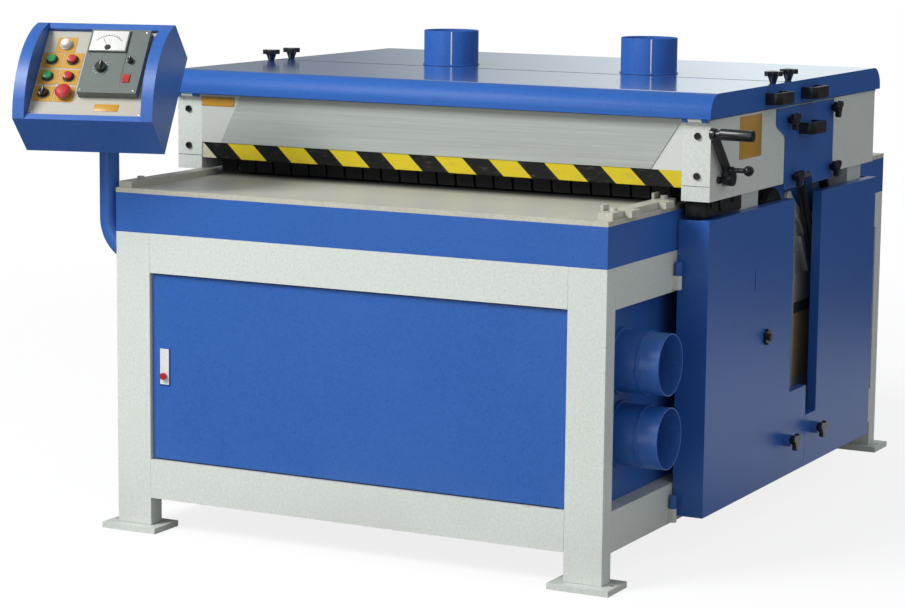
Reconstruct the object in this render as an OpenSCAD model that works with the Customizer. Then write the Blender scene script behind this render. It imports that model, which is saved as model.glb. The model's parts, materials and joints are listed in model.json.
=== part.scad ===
// Wide multi rip saw with two arbors, a gull-wing hood and a console on an arm.
// Origin on the floor at the centre of the anchor holes, +X to the belt side, +Y along the feed, +Z up.

/* [Base frame] */
// Width of the welded frame
frame_w = 1360; // [1200:10:1600]
// Length of the welded frame along the feed
frame_d = 1960; // [1800:10:2300]
// Width of a corner post
post_w = 100; // [80:5:120]
// Thickness of the posts and rails
tube_t = 50; // [40:2:60]
// Height of a rail
rail_h = 100; // [80:2:110]
// Underside of the lower rails above the floor
lower_rail_z = 86; // [70:2:110]
// Underside of the upper rails above the floor
upper_rail_z = 665; // [640:5:700]
// Rear edge of the mid post behind the frame's centre
mid_post_rear = 443; // [420:1:460]
// Width of the mid post
mid_post_w = 188; // [160:2:200]
// Thickness of a foot plate
foot_t = 15; // [10:1:20]
// Reach of a foot plate beyond its post
foot_lip = 30; // [26:1:40]
// Diameter of an anchor hole
anchor_d = 16; // [12:1:18]
// Thickness of the sheet panels
sheet_t = 3; // [2:0.5:4]
// Recess of the side panels behind the frame's outer face
panel_recess = 45; // [30:1:46]

/* [Table] */
// Height of the apron boards
apron_h = 99; // [95:1:115]
// Thickness of the apron boards
apron_t = 12; // [8:1:16]
// Thickness of the table plates
plate_t = 12; // [8:1:16]
// Joint between neighbouring plates and boards
joint_gap = 0.5; // [0.3:0.1:0.8]
// Width of a feed fence
fence_w = 38; // [30:1:44]
// Height of a feed fence
fence_h = 16; // [12:1:20]

/* [Head] */
// Front face of the head ahead of the frame's centre
head_front = 568; // [540:2:600]
// Rear face of the head behind the frame's centre
head_rear = 640; // [600:2:680]
// Reach of the end housings' inner faces beyond the frame
head_over = 7; // [4:1:12]
// Thickness of an end housing
housing_t = 74; // [70:1:90]
// Gap between the table and the underside of the housings
housing_lift = 10; // [6:1:16]
// Height of an end housing
housing_h = 199; // [190:1:220]
// Height of the feed opening above the table
feed_gap = 41; // [30:1:50]
// Height of the striped bar above the feed opening
stripe_h = 42; // [30:1:50]
// Thickness of the front and rear beams
beam_t = 10; // [8:1:16]
// Thickness of the brushed plates
guard_t = 2; // [1:0.5:4]
// Slant of the belt-side end of the brushed plate
plate_slant = 82; // [40:1:120]
// Depth of the belt side's inner wall
inner_wall = 12; // [8:1:14]

/* [Hood] */
// Height of the hood
hood_h = 60; // [50:1:70]
// Reach of the hood beyond the head at the front and rear
hood_reach = 22; // [20:1:30]
// Radius of the hood's front and rear bends
hood_bend = 52; // [20:1:55]
// Thickness of the hood's skin
hood_t = 4; // [2:0.5:5]
// Seam between the halves ahead of the frame's centre
hood_seam = 63; // [50:1:70]
// Distance of a clamp knob from the seam
hood_knob_off = 55; // [40:1:90]
// Diameter of a dust port
port_d = 150; // [120:5:160]
// Wall of a dust port
port_wall = 3; // [2:0.5:4]
// Height of a top dust port
port_h = 95; // [60:1:120]
// Sideways place of the left top port
port_left_x = -258; // [-320:1:-200]
// Sideways place of the right top port
port_right_x = 335; // [280:1:400]
// Gap between the seam and the rim of a top port
port_from_seam = 23; // [12:1:40]

/* [Cutting and feed] */
// Diameter of a saw blade
blade_d = 210; // [190:1:214]
// Thickness of a saw blade
blade_t = 4; // [3:0.5:6]
// Teeth on a saw blade
blade_teeth = 24; // [16:1:30]
// Spacing of the blades
blade_pitch = 150; // [100:5:300]
// Width of the collars that clamp the blades on an arbor
collar_w = 30; // [20:1:40]
// Diameter of an arbor
arbor_d = 50; // [40:1:56]
// Lower arbor ahead of the frame's centre
lower_arbor_fwd = 60; // [54:1:64]
// Lower arbor above the upper rails
lower_arbor_up = 35; // [33:0.5:38]
// Upper arbor behind the frame's centre
upper_arbor_back = 190; // [180:1:196]
// Least height of the upper blades above the table
upper_blade_lift = 9; // [5:1:14]
// Distance of the feed rollers from the frame's centre
roller_y = 400; // [380:2:410]
// Diameter of a feed roller
roller_d = 90; // [80:1:94]
// Least board that the pressure rollers grip
least_board = 10; // [6:1:14]
// Travel of the pressure beams
press_travel = 35; // [20:1:36]
// Spacing of the kickback fingers
finger_pitch = 54; // [40:1:60]
// Gap between neighbouring kickback fingers
finger_gap = 6; // [3:1:12]

/* [Belt drive] */
// Belts in each set
belt_n = 2; // [1:1:2]
// Width of a belt
belt_w = 11; // [9:0.5:12]
// Groove radius of an arbor pulley
arbor_pulley_r = 62; // [50:1:64]
// Groove radius of a motor pulley
motor_pulley_r = 90; // [80:1:94]
// Height of the main motors' shafts
motor_z = 360; // [340:2:400]
// Front main motor ahead of the frame's centre
motor_front_fwd = 140; // [130:2:150]
// Rear main motor behind the frame's centre
motor_rear_back = 560; // [548:2:564]
// Diameter of a main motor
motor_d = 300; // [260:5:320]

/* [Belt doors] */
// Lower edge of the belt doors above the floor
door_low = 105; // [95:1:120]
// Upper edge of the belt doors above the floor
door_top = 840; // [800:2:850]
// Meeting line of the belt doors behind the frame's centre
door_meet = 146; // [130:1:160]
// Front edge of the slot between the doors
slot_front = 19; // [0:1:40]
// Rear edge of the slot between the doors
slot_rear = 226; // [200:1:250]
// Step of the front door's edge above the floor
step_front_z = 327; // [300:1:350]
// Step of the rear door's edge above the floor
step_rear_z = 245; // [230:1:290]
// Rear edge of the rear door behind the frame's centre
door_rear = 670; // [650:2:690]
// Height of the door knobs above the floor
door_knob_z = 203; // [195:1:225]
// Return flange of a belt door's open edges
door_flange = 26; // [12:1:27]

/* [Console] */
// Diameter of the console's arm
arm_d = 50; // [40:1:56]
// Gap between the arm and the frame
arm_gap = 11; // [8:1:20]
// Bend radius of the arm
arm_bend = 89; // [75:1:100]
// Turn of the console towards the operator
console_yaw = 16; // [0:1:30]
// Slope of the console's face
console_tilt = 49; // [40:1:60]
// Width of the console
console_w = 360; // [340:5:420]
// Length of the console's face
console_len = 300; // [295:5:340]
// Depth of the console
console_dep = 134; // [120:2:150]
// Front lip of the console above the floor
console_lip_z = 1058; // [1020:2:1100]
// Front lip of the console ahead of its arm
console_lip_fwd = 209; // [190:1:220]
// Rise of the console's curved side cheeks
cheek_h = 52; // [30:1:70]
// Depth of the panel's recess
panel_dep = 12; // [10:0.5:16]
// Travel of a push button
button_travel = 3; // [2:0.5:4]

/* [Hidden] */

$fn = 48;
eps = 0.01;

// Radial clearance of a shaft in its hole
run_fit = 0.05;
// Clearance between curved faces that only pass each other
pass_gap = 0.3;

// Heights
upper_rail_top = upper_rail_z + rail_h;
lower_rail_top = lower_rail_z + rail_h;
apron_top = upper_rail_top + apron_h;
table_z = apron_top + plate_t;
housing_low = table_z + housing_lift;
housing_top = housing_low + housing_h;
stripe_low = table_z + feed_gap;
stripe_top = stripe_low + stripe_h;
hood_low = housing_top + 3;
hood_top = hood_low + hood_h;

// Plan
side_x = frame_w / 2;
end_y = frame_d / 2;
rail_in_x = side_x - tube_t;
door_open_x = side_x - post_w;
house_in_x = side_x + head_over;
house_out_x = house_in_x + housing_t;
hood_side_gap = 3;
hood_x = house_out_x + hood_side_gap + hood_t;
mid_post_front = mid_post_rear - mid_post_w;
anchor_x = side_x + foot_lip / 2;
anchor_y = end_y - tube_t / 2;
apron_in_x = side_x - apron_t;

// Arbors
blade_r = blade_d / 2;
arbor_r = arbor_d / 2;
lower_y = -lower_arbor_fwd;
lower_z = upper_rail_top + lower_arbor_up;
upper_y = upper_arbor_back;
upper_z = table_z + upper_blade_lift + blade_r;
bearing_w = 36;
bearing_r = 45;
blade_n = floor(2 * (apron_in_x - bearing_w - collar_w - blade_t) / blade_pitch) + 1;
blade_x0 = -blade_pitch * (blade_n - 1) / 2;
throat_chord = sqrt(blade_r * blade_r - (apron_top - lower_z) * (apron_top - lower_z));
throat_half = throat_chord + 12;

// Belt drive
groove_gap = 1.5;
land_w = 2;
groove_w = belt_w + 2 * 0.5;
pulley_w = belt_n * (groove_w + land_w) + land_w;
pulley_x0 = house_in_x + inner_wall + 4;
pulley_x1 = pulley_x0 + pulley_w;
land_h = 8;
belt_t = 9;
motor_face_x = side_x - 120;
motor_len = 460;
motor_shaft_r = 24;

// Feed rollers and pressure beams
roller_r = roller_d / 2;
lower_roller_z = table_z + 1 - roller_r;
upper_roller_z = table_z + least_board + roller_r;
post_r = 11;
post_x = house_in_x - 24;
lower_face_x = post_x - 18;
lower_journal_r = 18;
upper_journal_r = 15;
bracket_x1 = post_x - post_r - 2;
bracket_x0 = bracket_x1 - 16;
upper_face_x = bracket_x0 - 12;
press_half = 25;
press_low = upper_roller_z + roller_r + 24;
press_high = press_low + 50;
slot_half = roller_r - 10;

// Kickback fingers
finger_n = floor((2 * house_in_x - 60) / finger_pitch);
finger_half = (finger_pitch - finger_gap) / 2;
finger_y = -head_front + beam_t + 28;
finger_z = table_z + 109;
finger_rod_r = 8;
finger_tip_z = table_z + 6;

// Belt doors and their lift-off hinges
door_in_x = side_x + 2;
door_out_x = house_out_x + 2;
door_front = -head_front;
hinge_r = 9;
hinge_pin_r = 4;
hinge_half = 34;
hinge_x = side_x + 3 + hinge_r;
hinge_off = 17;
hinge_rows = [lower_rail_z + rail_h / 2 - 10, upper_rail_z + rail_h / 2 - 10];
boss_h = 18;

// Lower dust pipes
pipe_back = 190;
pipe_up = 158;
pipe_rise = 178;
pipe_inside = 75;

// Switchgear
gear_back = 100;
gear_row = 150;
gear_pitch = 92;
gear_w = 62;

// Front cabinet door on pivot pins
door_edge = 4;
door_dep = 25;
cab_door_y = -end_y + 10;
cab_pin_r = 5;
cab_pin_len = 15;
cab_pin_x = door_open_x - 14;
cab_pin_y = cab_door_y + 7;
lock_x = -door_open_x + 39;
lock_z = lower_rail_top + 242;
lock_w = 28;
lock_h = 95;
lock_drop = lock_h / 4;

// Hood hinges
hood_hinge_r = 7;
hood_pin_r = 3;
hood_axis_z = housing_top;
hood_axis_off = 10;
hood_hinge_x = house_in_x + housing_t / 2;
hood_knuckle = 35;
seam_gap = 1;
hood_knob_x = house_in_x + 58;
knob_stud_r = 6;

// Upper belt guard
guard_front = -131;
guard_rear = 297;
guard_waist = -65;
guard_low = housing_low - 16;
guard_top = housing_top - 2;
waist_top = housing_top - 41;
waist_low = housing_top - 84;
guard_lap = 6;
guard_mid = (guard_front + guard_rear) / 2;
pedestal_front = -290;
pedestal_rear = -170;
rear_pedestal_front = 510;
rear_pedestal_rear = 620;
pedestal_low = upper_rail_z + 35;
pedestal_x = pulley_x1;

// Hand crank
crank_y = -head_front + 88;
crank_z = housing_low + 53;
crank_r = 160;
crank_turn = 44;
crank_shaft_r = 10;
crank_face = house_out_x + 9;
arm_t = 14;
crank_pin_at = 30;
crank_pin_r = 6;
crank_pin_len = 64;

// Console
arm_r = arm_d / 2;
arm_x = -side_x - arm_gap - arm_r;
arm_y = -end_y + tube_t / 2;
arm_top = console_lip_z + 117;
arm_elbow_z = upper_rail_z + 41 + arm_bend;
recess_u = console_w / 2 - 30;
cheek_r = (console_len * console_len / 4 + cheek_h * cheek_h) / (2 * cheek_h);
recess_low = 16;
recess_high = console_len - 18;
stem_r = 4;
cap_r = 11;
face_n = 3 - panel_dep;
cap_n = face_n + 4;
start_col = 30 - recess_u;
stop_col = start_col + 54;
row_pitch = 52;
row_top = console_len - 112;
start_upper_at = [start_col, row_top];
start_lower_at = [start_col, row_top - row_pitch];
stop_upper_at = [stop_col, row_top];
stop_lower_at = [stop_col, row_top - row_pitch];
selector_at = [start_col, row_top - 2 * row_pitch];
stop_all_at = [stop_col, row_top - 2 * row_pitch];
lamp_at = [(start_col + stop_col) / 2, row_top + 48];
ctl_low = [stop_col + 39, console_len - 224];
ctl_high = [recess_u - 24, console_len - 28];
ctl_n = face_n + 22;
speed_at = [ctl_low[0] + 47, console_len - 148];
trim_at = [ctl_high[0] - 34, console_len - 126];
rocker_at = [trim_at[0], console_len - 179];
rocker_r = 14;
rocker_w = 18;
rocker_pin_r = 2;

// Colours
frame_c = [0.84, 0.86, 0.83];
blue_c = [0.16, 0.33, 0.66];
steel_c = [0.72, 0.73, 0.72];
cream_c = [0.80, 0.78, 0.70];
black_c = [0.07, 0.07, 0.08];
grey_c = [0.45, 0.46, 0.46];

// A box from its low corner to its high corner
module block(low, high) {
    translate(low) cube(high - low);
}

// The same shape on the left and the right
module both_sides() {
    children();
    mirror([1, 0, 0]) children();
}

// A round bar along X
module rod_x(x0, x1, y, z, r) {
    translate([x0, y, z]) rotate([0, 90, 0]) cylinder(h = x1 - x0, r = r);
}

// A round bar along Z
module rod_z(z0, z1, x, y, r) {
    translate([x, y, z0]) cylinder(h = z1 - z0, r = r);
}

// An outline in Y and Z drawn out along X
module along_x(x0, x1) {
    translate([x0, 0, 0]) rotate([90, 0, 90]) linear_extrude(x1 - x0) children();
}

// Three-lobed clamp knob standing on the plane z = 0
module lobe_knob(stem, stud) {
    translate([0, 0, -stud]) cylinder(h = stud + eps, r = knob_stud_r - 1);
    cylinder(h = stem + eps, r1 = 8, r2 = 14);
    translate([0, 0, stem]) {
        cylinder(h = 12, r = 15);
        for (lobe = [0:2]) rotate(lobe * 120) translate([17, 0, 0]) cylinder(h = 12, r = 9);
    }
}

// Bow handle along Y standing out along X from the plane x = 0, with round outer corners
module bow_handle() {
    half = 55;
    reach = 42;
    bar = 14;
    bend = 18;
    translate([0, 0, -15]) linear_extrude(30) difference() {
        union() {
            translate([0, -half]) square([reach - bend, 2 * half]);
            translate([0, bend - half]) square([reach, 2 * (half - bend)]);
            for (sy = [0, 1]) mirror([0, sy]) intersection() {
                translate([reach - bend, half - bend]) circle(r = bend);
                translate([reach - bend, half - bend]) square([bend, bend]);
            }
        }
        translate([-eps, bar - half]) square([reach - bar + eps, 2 * (half - bar)]);
    }
}

// Closed loop round two circles, each given by its centre and radius
function arc_points(c, r, from, to, steps) =
    [for (i = [0:steps]) let (a = from + (to - from) * i / steps) c + r * [cos(a), sin(a)]];
function loop_points(c1, r1, c2, r2, steps = 16) =
    let (d = c2 - c1, turn = atan2(d[1], d[0]), a = acos((r1 - r2) / norm(d)))
    concat(arc_points(c1, r1, turn + a, turn + 360 - a, steps),
        arc_points(c2, r2, turn - a, turn + a, steps));

// Outline of a saw blade, with a gullet, a tip and a sloping back to each tooth
function blade_points(r, teeth) =
    [for (i = [0:teeth - 1], p = [[0, r - 14], [0.16, r], [0.34, r - 1]])
        let (a = 360 * (i + p[0]) / teeth) p[1] * [cos(a), sin(a)]];

// Outline of a ribbed motor body
function rib_points(r, ribs, deep) =
    [for (i = [0:ribs - 1], p = [[0, 0], [0.5, 0], [0.5, deep], [1, deep]])
        let (a = 360 * (i + p[0]) / ribs) (r - p[1]) * [cos(a), sin(a)]];

// Outline of the upper belt guard, drawn in from its edge by an inset
function guard_points(inset, low, top) =
    let (front = guard_front + inset, waist = guard_waist + inset, steps = 10)
    concat([[guard_rear - inset, low], [guard_rear - inset, top], [front, top]],
        [for (i = [0:steps]) let (t = i / steps)
            [front + (waist - front) * (1 - cos(180 * t)) / 2, waist_top + (waist_low - waist_top) * t]],
        [[waist, low]]);

module base_posts() {
    color(frame_c) {
        for (sx = [-1, 1], sy = [-1, 1])
            translate([sx * (side_x - post_w / 2), sy * (end_y - tube_t / 2), foot_t])
                translate([-post_w / 2, -tube_t / 2, 0]) cube([post_w, tube_t, upper_rail_top - foot_t]);
        both_sides() block([rail_in_x, mid_post_front, lower_rail_top],
            [side_x, mid_post_rear, upper_rail_z]);
    }
}

module base_rails() {
    color(frame_c) difference() {
        for (z = [lower_rail_z, upper_rail_z]) {
            both_sides() block([rail_in_x, -end_y + tube_t, z], [side_x, end_y - tube_t, z + rail_h]);
            for (sy = [0, 1]) mirror([0, sy, 0])
                block([-door_open_x, -end_y, z], [door_open_x, -end_y + tube_t, z + rail_h]);
        }
        rod_z(upper_rail_z - 1, upper_rail_z + cab_pin_len, cab_pin_x, cab_pin_y, cab_pin_r + run_fit);
        rod_z(lower_rail_top - cab_pin_len, lower_rail_top + 1, cab_pin_x, cab_pin_y, cab_pin_r + run_fit);
    }
}

module foot_plates() {
    color(frame_c) for (sx = [0, 1], sy = [0, 1]) mirror([sx, 0, 0]) mirror([0, sy, 0]) difference() {
        block([door_open_x - foot_lip, end_y - tube_t - foot_lip, 0],
            [side_x + foot_lip, end_y + foot_lip, foot_t]);
        rod_z(-1, foot_t + 1, anchor_x, anchor_y, anchor_d / 2);
    }
}

module table_apron() {
    color(blue_c) difference() {
        union() {
            for (sy = [0, 1]) mirror([0, sy, 0])
                block([-side_x, -end_y, upper_rail_top], [side_x, -end_y + apron_t, apron_top]);
            both_sides() block([apron_in_x, -end_y + apron_t + joint_gap, upper_rail_top],
                [side_x, end_y - apron_t - joint_gap, apron_top]);
        }
        rod_x(0, side_x + 1, lower_y, lower_z, arbor_r + 6);
        for (y = [-roller_y, roller_y])
            rod_x(-side_x - 1, side_x + 1, y, lower_roller_z, lower_journal_r + run_fit);
    }
}

module table_plates() {
    color(cream_c) {
        difference() {
            block([-side_x, -end_y, apron_top], [side_x, lower_y - throat_half - joint_gap, table_z]);
            roller_slot(-roller_y);
        }
        difference() {
            block([-side_x, lower_y - throat_half, apron_top], [side_x, lower_y + throat_half, table_z]);
            for (i = [0:blade_n - 1]) translate([blade_x0 + i * blade_pitch, lower_y, 0])
                block([-blade_t / 2 - 3, -throat_chord - 5, apron_top - 1],
                    [blade_t / 2 + 3, throat_chord + 5, table_z + 1]);
        }
        difference() {
            block([-side_x, lower_y + throat_half + joint_gap, apron_top], [side_x, end_y, table_z]);
            roller_slot(roller_y);
        }
    }
}

module roller_slot(y) {
    block([-lower_face_x - 5, y - slot_half, apron_top - 1],
        [lower_face_x + 5, y + slot_half, table_z + 1]);
}

module body_panels() {
    panel_x = side_x - panel_recess;
    spans = [[-end_y + tube_t, mid_post_front], [mid_post_rear, end_y - tube_t]];
    color(blue_c) {
        for (span = spans)
            block([-panel_x, span[0], lower_rail_top], [sheet_t - panel_x, span[1], upper_rail_z]);
        difference() {
            for (span = spans)
                block([panel_x - sheet_t, span[0], lower_rail_top], [panel_x, span[1], upper_rail_z]);
            for (z = pipe_rows()) rod_x(0, side_x, pipe_y(), z, port_d / 2 + pass_gap);
            for (y = [-motor_front_fwd, motor_rear_back]) rod_x(0, side_x, y, motor_z, motor_shaft_r + 36);
        }
        block([-door_open_x, end_y - tube_t / 2, lower_rail_top],
            [door_open_x, end_y - tube_t / 2 + sheet_t, upper_rail_z]);
    }
}

// Lower dust pipes, one above the other in the belt side's front bay
function pipe_y() = -end_y + pipe_back;
function pipe_rows() = [lower_rail_top + pipe_up, lower_rail_top + pipe_up + pipe_rise];

module lower_dust_pipes() {
    panel_x = side_x - panel_recess;
    color(blue_c) for (z = pipe_rows()) difference() {
        union() {
            rod_x(panel_x - pipe_inside, door_out_x, pipe_y(), z, port_d / 2);
            rod_x(panel_x, panel_x + 8, pipe_y(), z, port_d / 2 + 6);
        }
        rod_x(panel_x - pipe_inside - 1, door_out_x + 1, pipe_y(), z, port_d / 2 - port_wall);
    }
}

module hinge_brackets() {
    color(frame_c) {
        for (z = hinge_rows, at = [[door_front - hinge_off, 1], [door_rear + hinge_off, -1]]) {
            rod_z(z - hinge_half, z, hinge_x, at[0], hinge_r);
            rod_z(z - eps, z + hinge_half - 4, hinge_x, at[0], hinge_pin_r);
            block([side_x, at[0] - hinge_r, z - hinge_half], [hinge_x, at[0] + hinge_r, z]);
        }
        both_sides() {
            translate([0, -head_front, 0]) hood_barrel();
            translate([0, head_rear, 0]) mirror([0, 1, 0]) hood_barrel();
        }
    }
}

// Fixed barrel and pin of a hood hinge, on a head face at y = 0
module hood_barrel() {
    x0 = hood_hinge_x - hood_knuckle / 2;
    x1 = hood_hinge_x + hood_knuckle / 2;
    rod_x(x0, x1, -hood_axis_off, hood_axis_z, hood_hinge_r);
    rod_x(x0 - 16, x1 + 16, -hood_axis_off, hood_axis_z, hood_pin_r);
    block([x0, -hood_axis_off, hood_axis_z - hood_hinge_r], [x1, 0, hood_axis_z]);
}

module electrical_panel() {
    back_y = -end_y + gear_back;
    low = lower_rail_top - 25;
    high = upper_rail_z + 25;
    half = door_open_x - 20;
    per_row = floor((2 * half - 160) / gear_pitch);
    color(steel_c) {
        block([-half, back_y, low], [half, back_y + sheet_t, high]);
        for (sx = [-1, 1], z = [low + 12, high - 12])
            translate([sx * (half - 30), back_y + eps, z]) rotate([90, 0, 0])
                cylinder(h = back_y + eps + end_y - tube_t, r = 10);
    }
    color(grey_c) for (row = [0:2]) {
        z = low + 90 + row * gear_row;
        block([-half + 60, back_y - 8, z - 18], [half - 60, back_y + eps, z + 18]);
        for (i = [0:per_row - 1 - row])
            translate([-half + 80 + i * gear_pitch, back_y - 46, z - 42]) cube([gear_w, 46 + eps, 84]);
    }
}

module main_motors() {
    color(grey_c) for (y = [-motor_front_fwd, motor_rear_back]) difference() {
        union() {
            along_x(motor_face_x - motor_len, motor_face_x - 40) translate([y, motor_z])
                polygon(rib_points(motor_d / 2, 30, 10));
            rod_x(motor_face_x - 50, motor_face_x, y, motor_z, motor_d / 2);
            rod_x(motor_face_x - motor_len - 90, motor_face_x - motor_len + 10,
                y, motor_z, motor_d / 2 - 8);
            for (x = [motor_face_x - 120, motor_face_x - motor_len + 60])
                block([x - 40, y - motor_d / 2, lower_rail_top],
                    [x + 40, y + motor_d / 2, motor_z - motor_d / 3]);
            block([motor_face_x - 260, y - 70, motor_z + motor_d / 2 - 25],
                [motor_face_x - 120, y + 70, motor_z + motor_d / 2 + 60]);
        }
        rod_x(motor_face_x - 60, motor_face_x + 1, y, motor_z, motor_shaft_r + run_fit);
    }
    // Worm gear-motors on the driven rollers' left journals
    color(grey_c) for (y = [-roller_y, roller_y]) difference() {
        union() {
            block([-side_x - 80, y - 52, lower_roller_z - 60], [-side_x, y + 52, lower_roller_z + 40]);
            rod_z(lower_roller_z - 230, lower_roller_z - 50, -side_x - 58, y, 54);
        }
        rod_x(-side_x - 90, -side_x + 1, y, lower_roller_z, lower_journal_r + run_fit);
    }
}

module motor_mounts() {
    color(frame_c) for (y = [-motor_front_fwd, motor_rear_back])
        block([-rail_in_x, y - 60, lower_rail_z + 19], [rail_in_x, y + 60, lower_rail_top]);
    // Tension arm with its eye and bracket, on the face of the belt-side rail
    eye = [slot_rear + 86, upper_rail_top - 34];
    top = [slot_front + 153, upper_rail_top + 60];
    reach = norm(top - eye);
    color(steel_c) along_x(side_x, side_x + inner_wall) difference() {
        union() {
            translate(eye) circle(r = 28);
            translate(eye) rotate(atan2(top[1] - eye[1], top[0] - eye[0]))
                translate([0, -13]) square([reach, 26]);
            translate(top) circle(r = 17);
            translate(eye) polygon([[-46, -22], [26, -22], [44, -124], [18, -124]]);
        }
        translate(eye) circle(r = 12);
    }
}

module arbor_bearings() {
    color(grey_c) both_sides() {
        difference() {
            union() {
                block([apron_in_x - bearing_w, lower_y - bearing_r, upper_rail_top],
                    [apron_in_x, lower_y + bearing_r, upper_rail_top + 14]);
                rod_x(apron_in_x - bearing_w, apron_in_x, lower_y, lower_z, arbor_r + 9);
            }
            rod_x(0, side_x, lower_y, lower_z, arbor_r + run_fit);
        }
        difference() {
            union() {
                rod_x(house_in_x - bearing_w, house_in_x, upper_y, upper_z, bearing_r);
                block([house_in_x - 14, upper_y - bearing_r - 8, upper_z - bearing_r],
                    [house_in_x, upper_y + bearing_r + 8, upper_z + bearing_r]);
            }
            rod_x(0, house_in_x + 1, upper_y, upper_z, arbor_r + run_fit);
        }
    }
}

module belt_loop(x, arbor, motor) {
    inner_arbor = (arbor_pulley_r + groove_gap) / cos(8);
    inner_motor = (motor_pulley_r + groove_gap) / cos(8);
    along_x(x, x + belt_w) difference() {
        polygon(loop_points(arbor, inner_arbor + belt_t, motor, inner_motor + belt_t));
        polygon(loop_points(arbor, inner_arbor, motor, inner_motor));
    }
}

module drive_belts() {
    color(black_c) for (i = [0:belt_n - 1]) {
        x = pulley_x0 + land_w + 0.5 + i * (groove_w + land_w);
        belt_loop(x, [lower_y, lower_z], [-motor_front_fwd, motor_z]);
        belt_loop(x, [upper_y, upper_z], [motor_rear_back, motor_z]);
    }
}

module grooved_pulley(y, z, r) {
    rod_x(pulley_x0, pulley_x1, y, z, r);
    for (i = [0:belt_n]) translate([pulley_x0 + i * (groove_w + land_w), 0, 0])
        rod_x(0, land_w, y, z, r + land_h);
}

module pedestals() {
    for (span = [[pedestal_front, pedestal_rear], [rear_pedestal_front, rear_pedestal_rear]])
        block([side_x, span[0], pedestal_low], [pedestal_x, span[1], housing_low + eps]);
}

module end_housing_left() {
    color(frame_c) mirror([1, 0, 0]) {
        block([house_in_x, -head_front, housing_low], [house_out_x, head_rear, housing_top]);
        pedestals();
    }
}

module end_housing_right() {
    color(frame_c) difference() {
        union() {
            block([house_in_x, -head_front, housing_low], [house_out_x, head_rear, housing_top]);
            pedestals();
        }
        along_x(house_in_x + inner_wall, house_out_x + 1)
            polygon(guard_points(guard_lap, housing_low - 1, housing_top - 10));
        // Pocket for the rear run of the upper belts
        block([house_in_x + inner_wall, guard_rear - guard_lap - 1, housing_low - 1],
            [pulley_x1 + 8, guard_rear + 66, housing_low + 100]);
        rod_x(house_in_x - 1, house_out_x, upper_y, upper_z, arbor_r + 8);
        rod_x(house_in_x + 14, house_out_x + 1, crank_y, crank_z, crank_shaft_r + run_fit);
    }
}

module head_beams() {
    color(frame_c) for (y = [guard_t - head_front, head_rear - beam_t])
        block([-house_in_x, y, stripe_low], [house_in_x, y + beam_t, housing_top]);
}

module guard_plates() {
    color(steel_c) {
        translate([0, guard_t - head_front, 0]) rotate([90, 0, 0]) linear_extrude(guard_t)
            polygon([[-house_in_x, housing_top], [house_in_x, housing_top],
                [house_in_x - plate_slant, stripe_top], [-house_in_x, stripe_top]]);
        block([plate_slant - house_in_x, head_rear, stripe_top],
            [house_in_x - plate_slant, head_rear + guard_t, housing_top - 12]);
    }
}

module upper_belt_guard() {
    color(blue_c) difference() {
        along_x(house_out_x, house_out_x + sheet_t) polygon(guard_points(0, guard_low, guard_top));
        rod_x(house_out_x - 1, house_out_x + sheet_t + 1, guard_mid + 29, guard_low, 34);
    }
}

// Clamp knobs and handle of the upper belt guard, and the small lock screw by the crank
module clamp_knobs() {
    places = [[guard_front + 88, housing_top - 36], [guard_rear - 15, housing_top - 25],
        [guard_waist + 62, guard_low + 28], [guard_rear - 15, guard_low + 31]];
    color(black_c) {
        for (at = places)
            translate([house_out_x + sheet_t, at[0], at[1]]) rotate([0, 90, 0]) lobe_knob(12, 0);
        translate([house_out_x + sheet_t, guard_mid + 2, housing_top - 62]) bow_handle();
        rod_x(house_out_x, house_out_x + 7, crank_y - 37, crank_z - 3, 9);
    }
}

module guide_rods() {
    color(steel_c) {
        both_sides() for (sy = [-1, 1]) rod_z(table_z, housing_top - 1, post_x, sy * roller_y, post_r);
        rod_x(-house_in_x, house_in_x, finger_y, finger_z, finger_rod_r);
    }
}

// Edge bars that guide the boards, with their brackets and clamp bolts
module feed_fences() {
    near = -end_y + 6;
    far = -head_front - 3;
    lug = 52;
    top = table_z + fence_h;
    color(steel_c) {
        block([-side_x + 6, near, table_z], [-side_x + 6 + fence_w, far, top]);
        rod_z(top - eps, top + 7, -side_x + 6 + fence_w / 2, near + 70, 9);
    }
    color(frame_c) {
        block([side_x - 6 - fence_w, near + 30, table_z], [side_x - 6, far, top]);
        for (y = [near + 60, far - 44]) {
            block([side_x - 12 - fence_w, y, table_z], [side_x - 6 - fence_w + eps, y + 34, top + 14]);
            rod_z(top - eps, top + 8, side_x - 6 - fence_w / 2, y + 17, 9);
        }
        for (y = [near + 95, far - 2 * lug - 1])
            block([side_x - 6 - eps, y, table_z], [side_x + 14, y + lug, top]);
    }
}

module console_arm() {
    color(blue_c) {
        rod_z(arm_elbow_z, arm_top, arm_x, arm_y, arm_r);
        intersection() {
            translate([arm_x + arm_bend, arm_y, arm_elbow_z]) rotate([90, 0, 0])
                rotate_extrude() translate([arm_bend, 0]) circle(r = arm_r);
            block([arm_x - arm_d, arm_y - arm_d, arm_elbow_z - arm_bend - arm_d],
                [-side_x, arm_y + arm_d, arm_elbow_z]);
        }
    }
}

// Hood half with its bent end at y = 0 and its seam at y = len
module hood_half(len) {
    difference() {
        along_x(-hood_x, hood_x) hood_profile(0, len, hood_low, hood_top, hood_bend);
        along_x(hood_t - hood_x, hood_x - hood_t)
            hood_profile(hood_t, len + 1, hood_low - 1, hood_top - hood_t, hood_bend - hood_t);
        both_sides() translate([hood_knob_x, len + seam_gap / 2 - hood_knob_off, hood_top - hood_t - 1])
            cylinder(h = hood_t + 2, r = knob_stud_r);
    }
    block([hood_t - hood_x, len - hood_t, hood_top - 24], [hood_x - hood_t, len, hood_top - hood_t + eps]);
    both_sides() for (sx = [-1, 1]) hood_knuckle_at(hood_hinge_x + sx * (hood_knuckle / 2 + 8.5));
}

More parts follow.
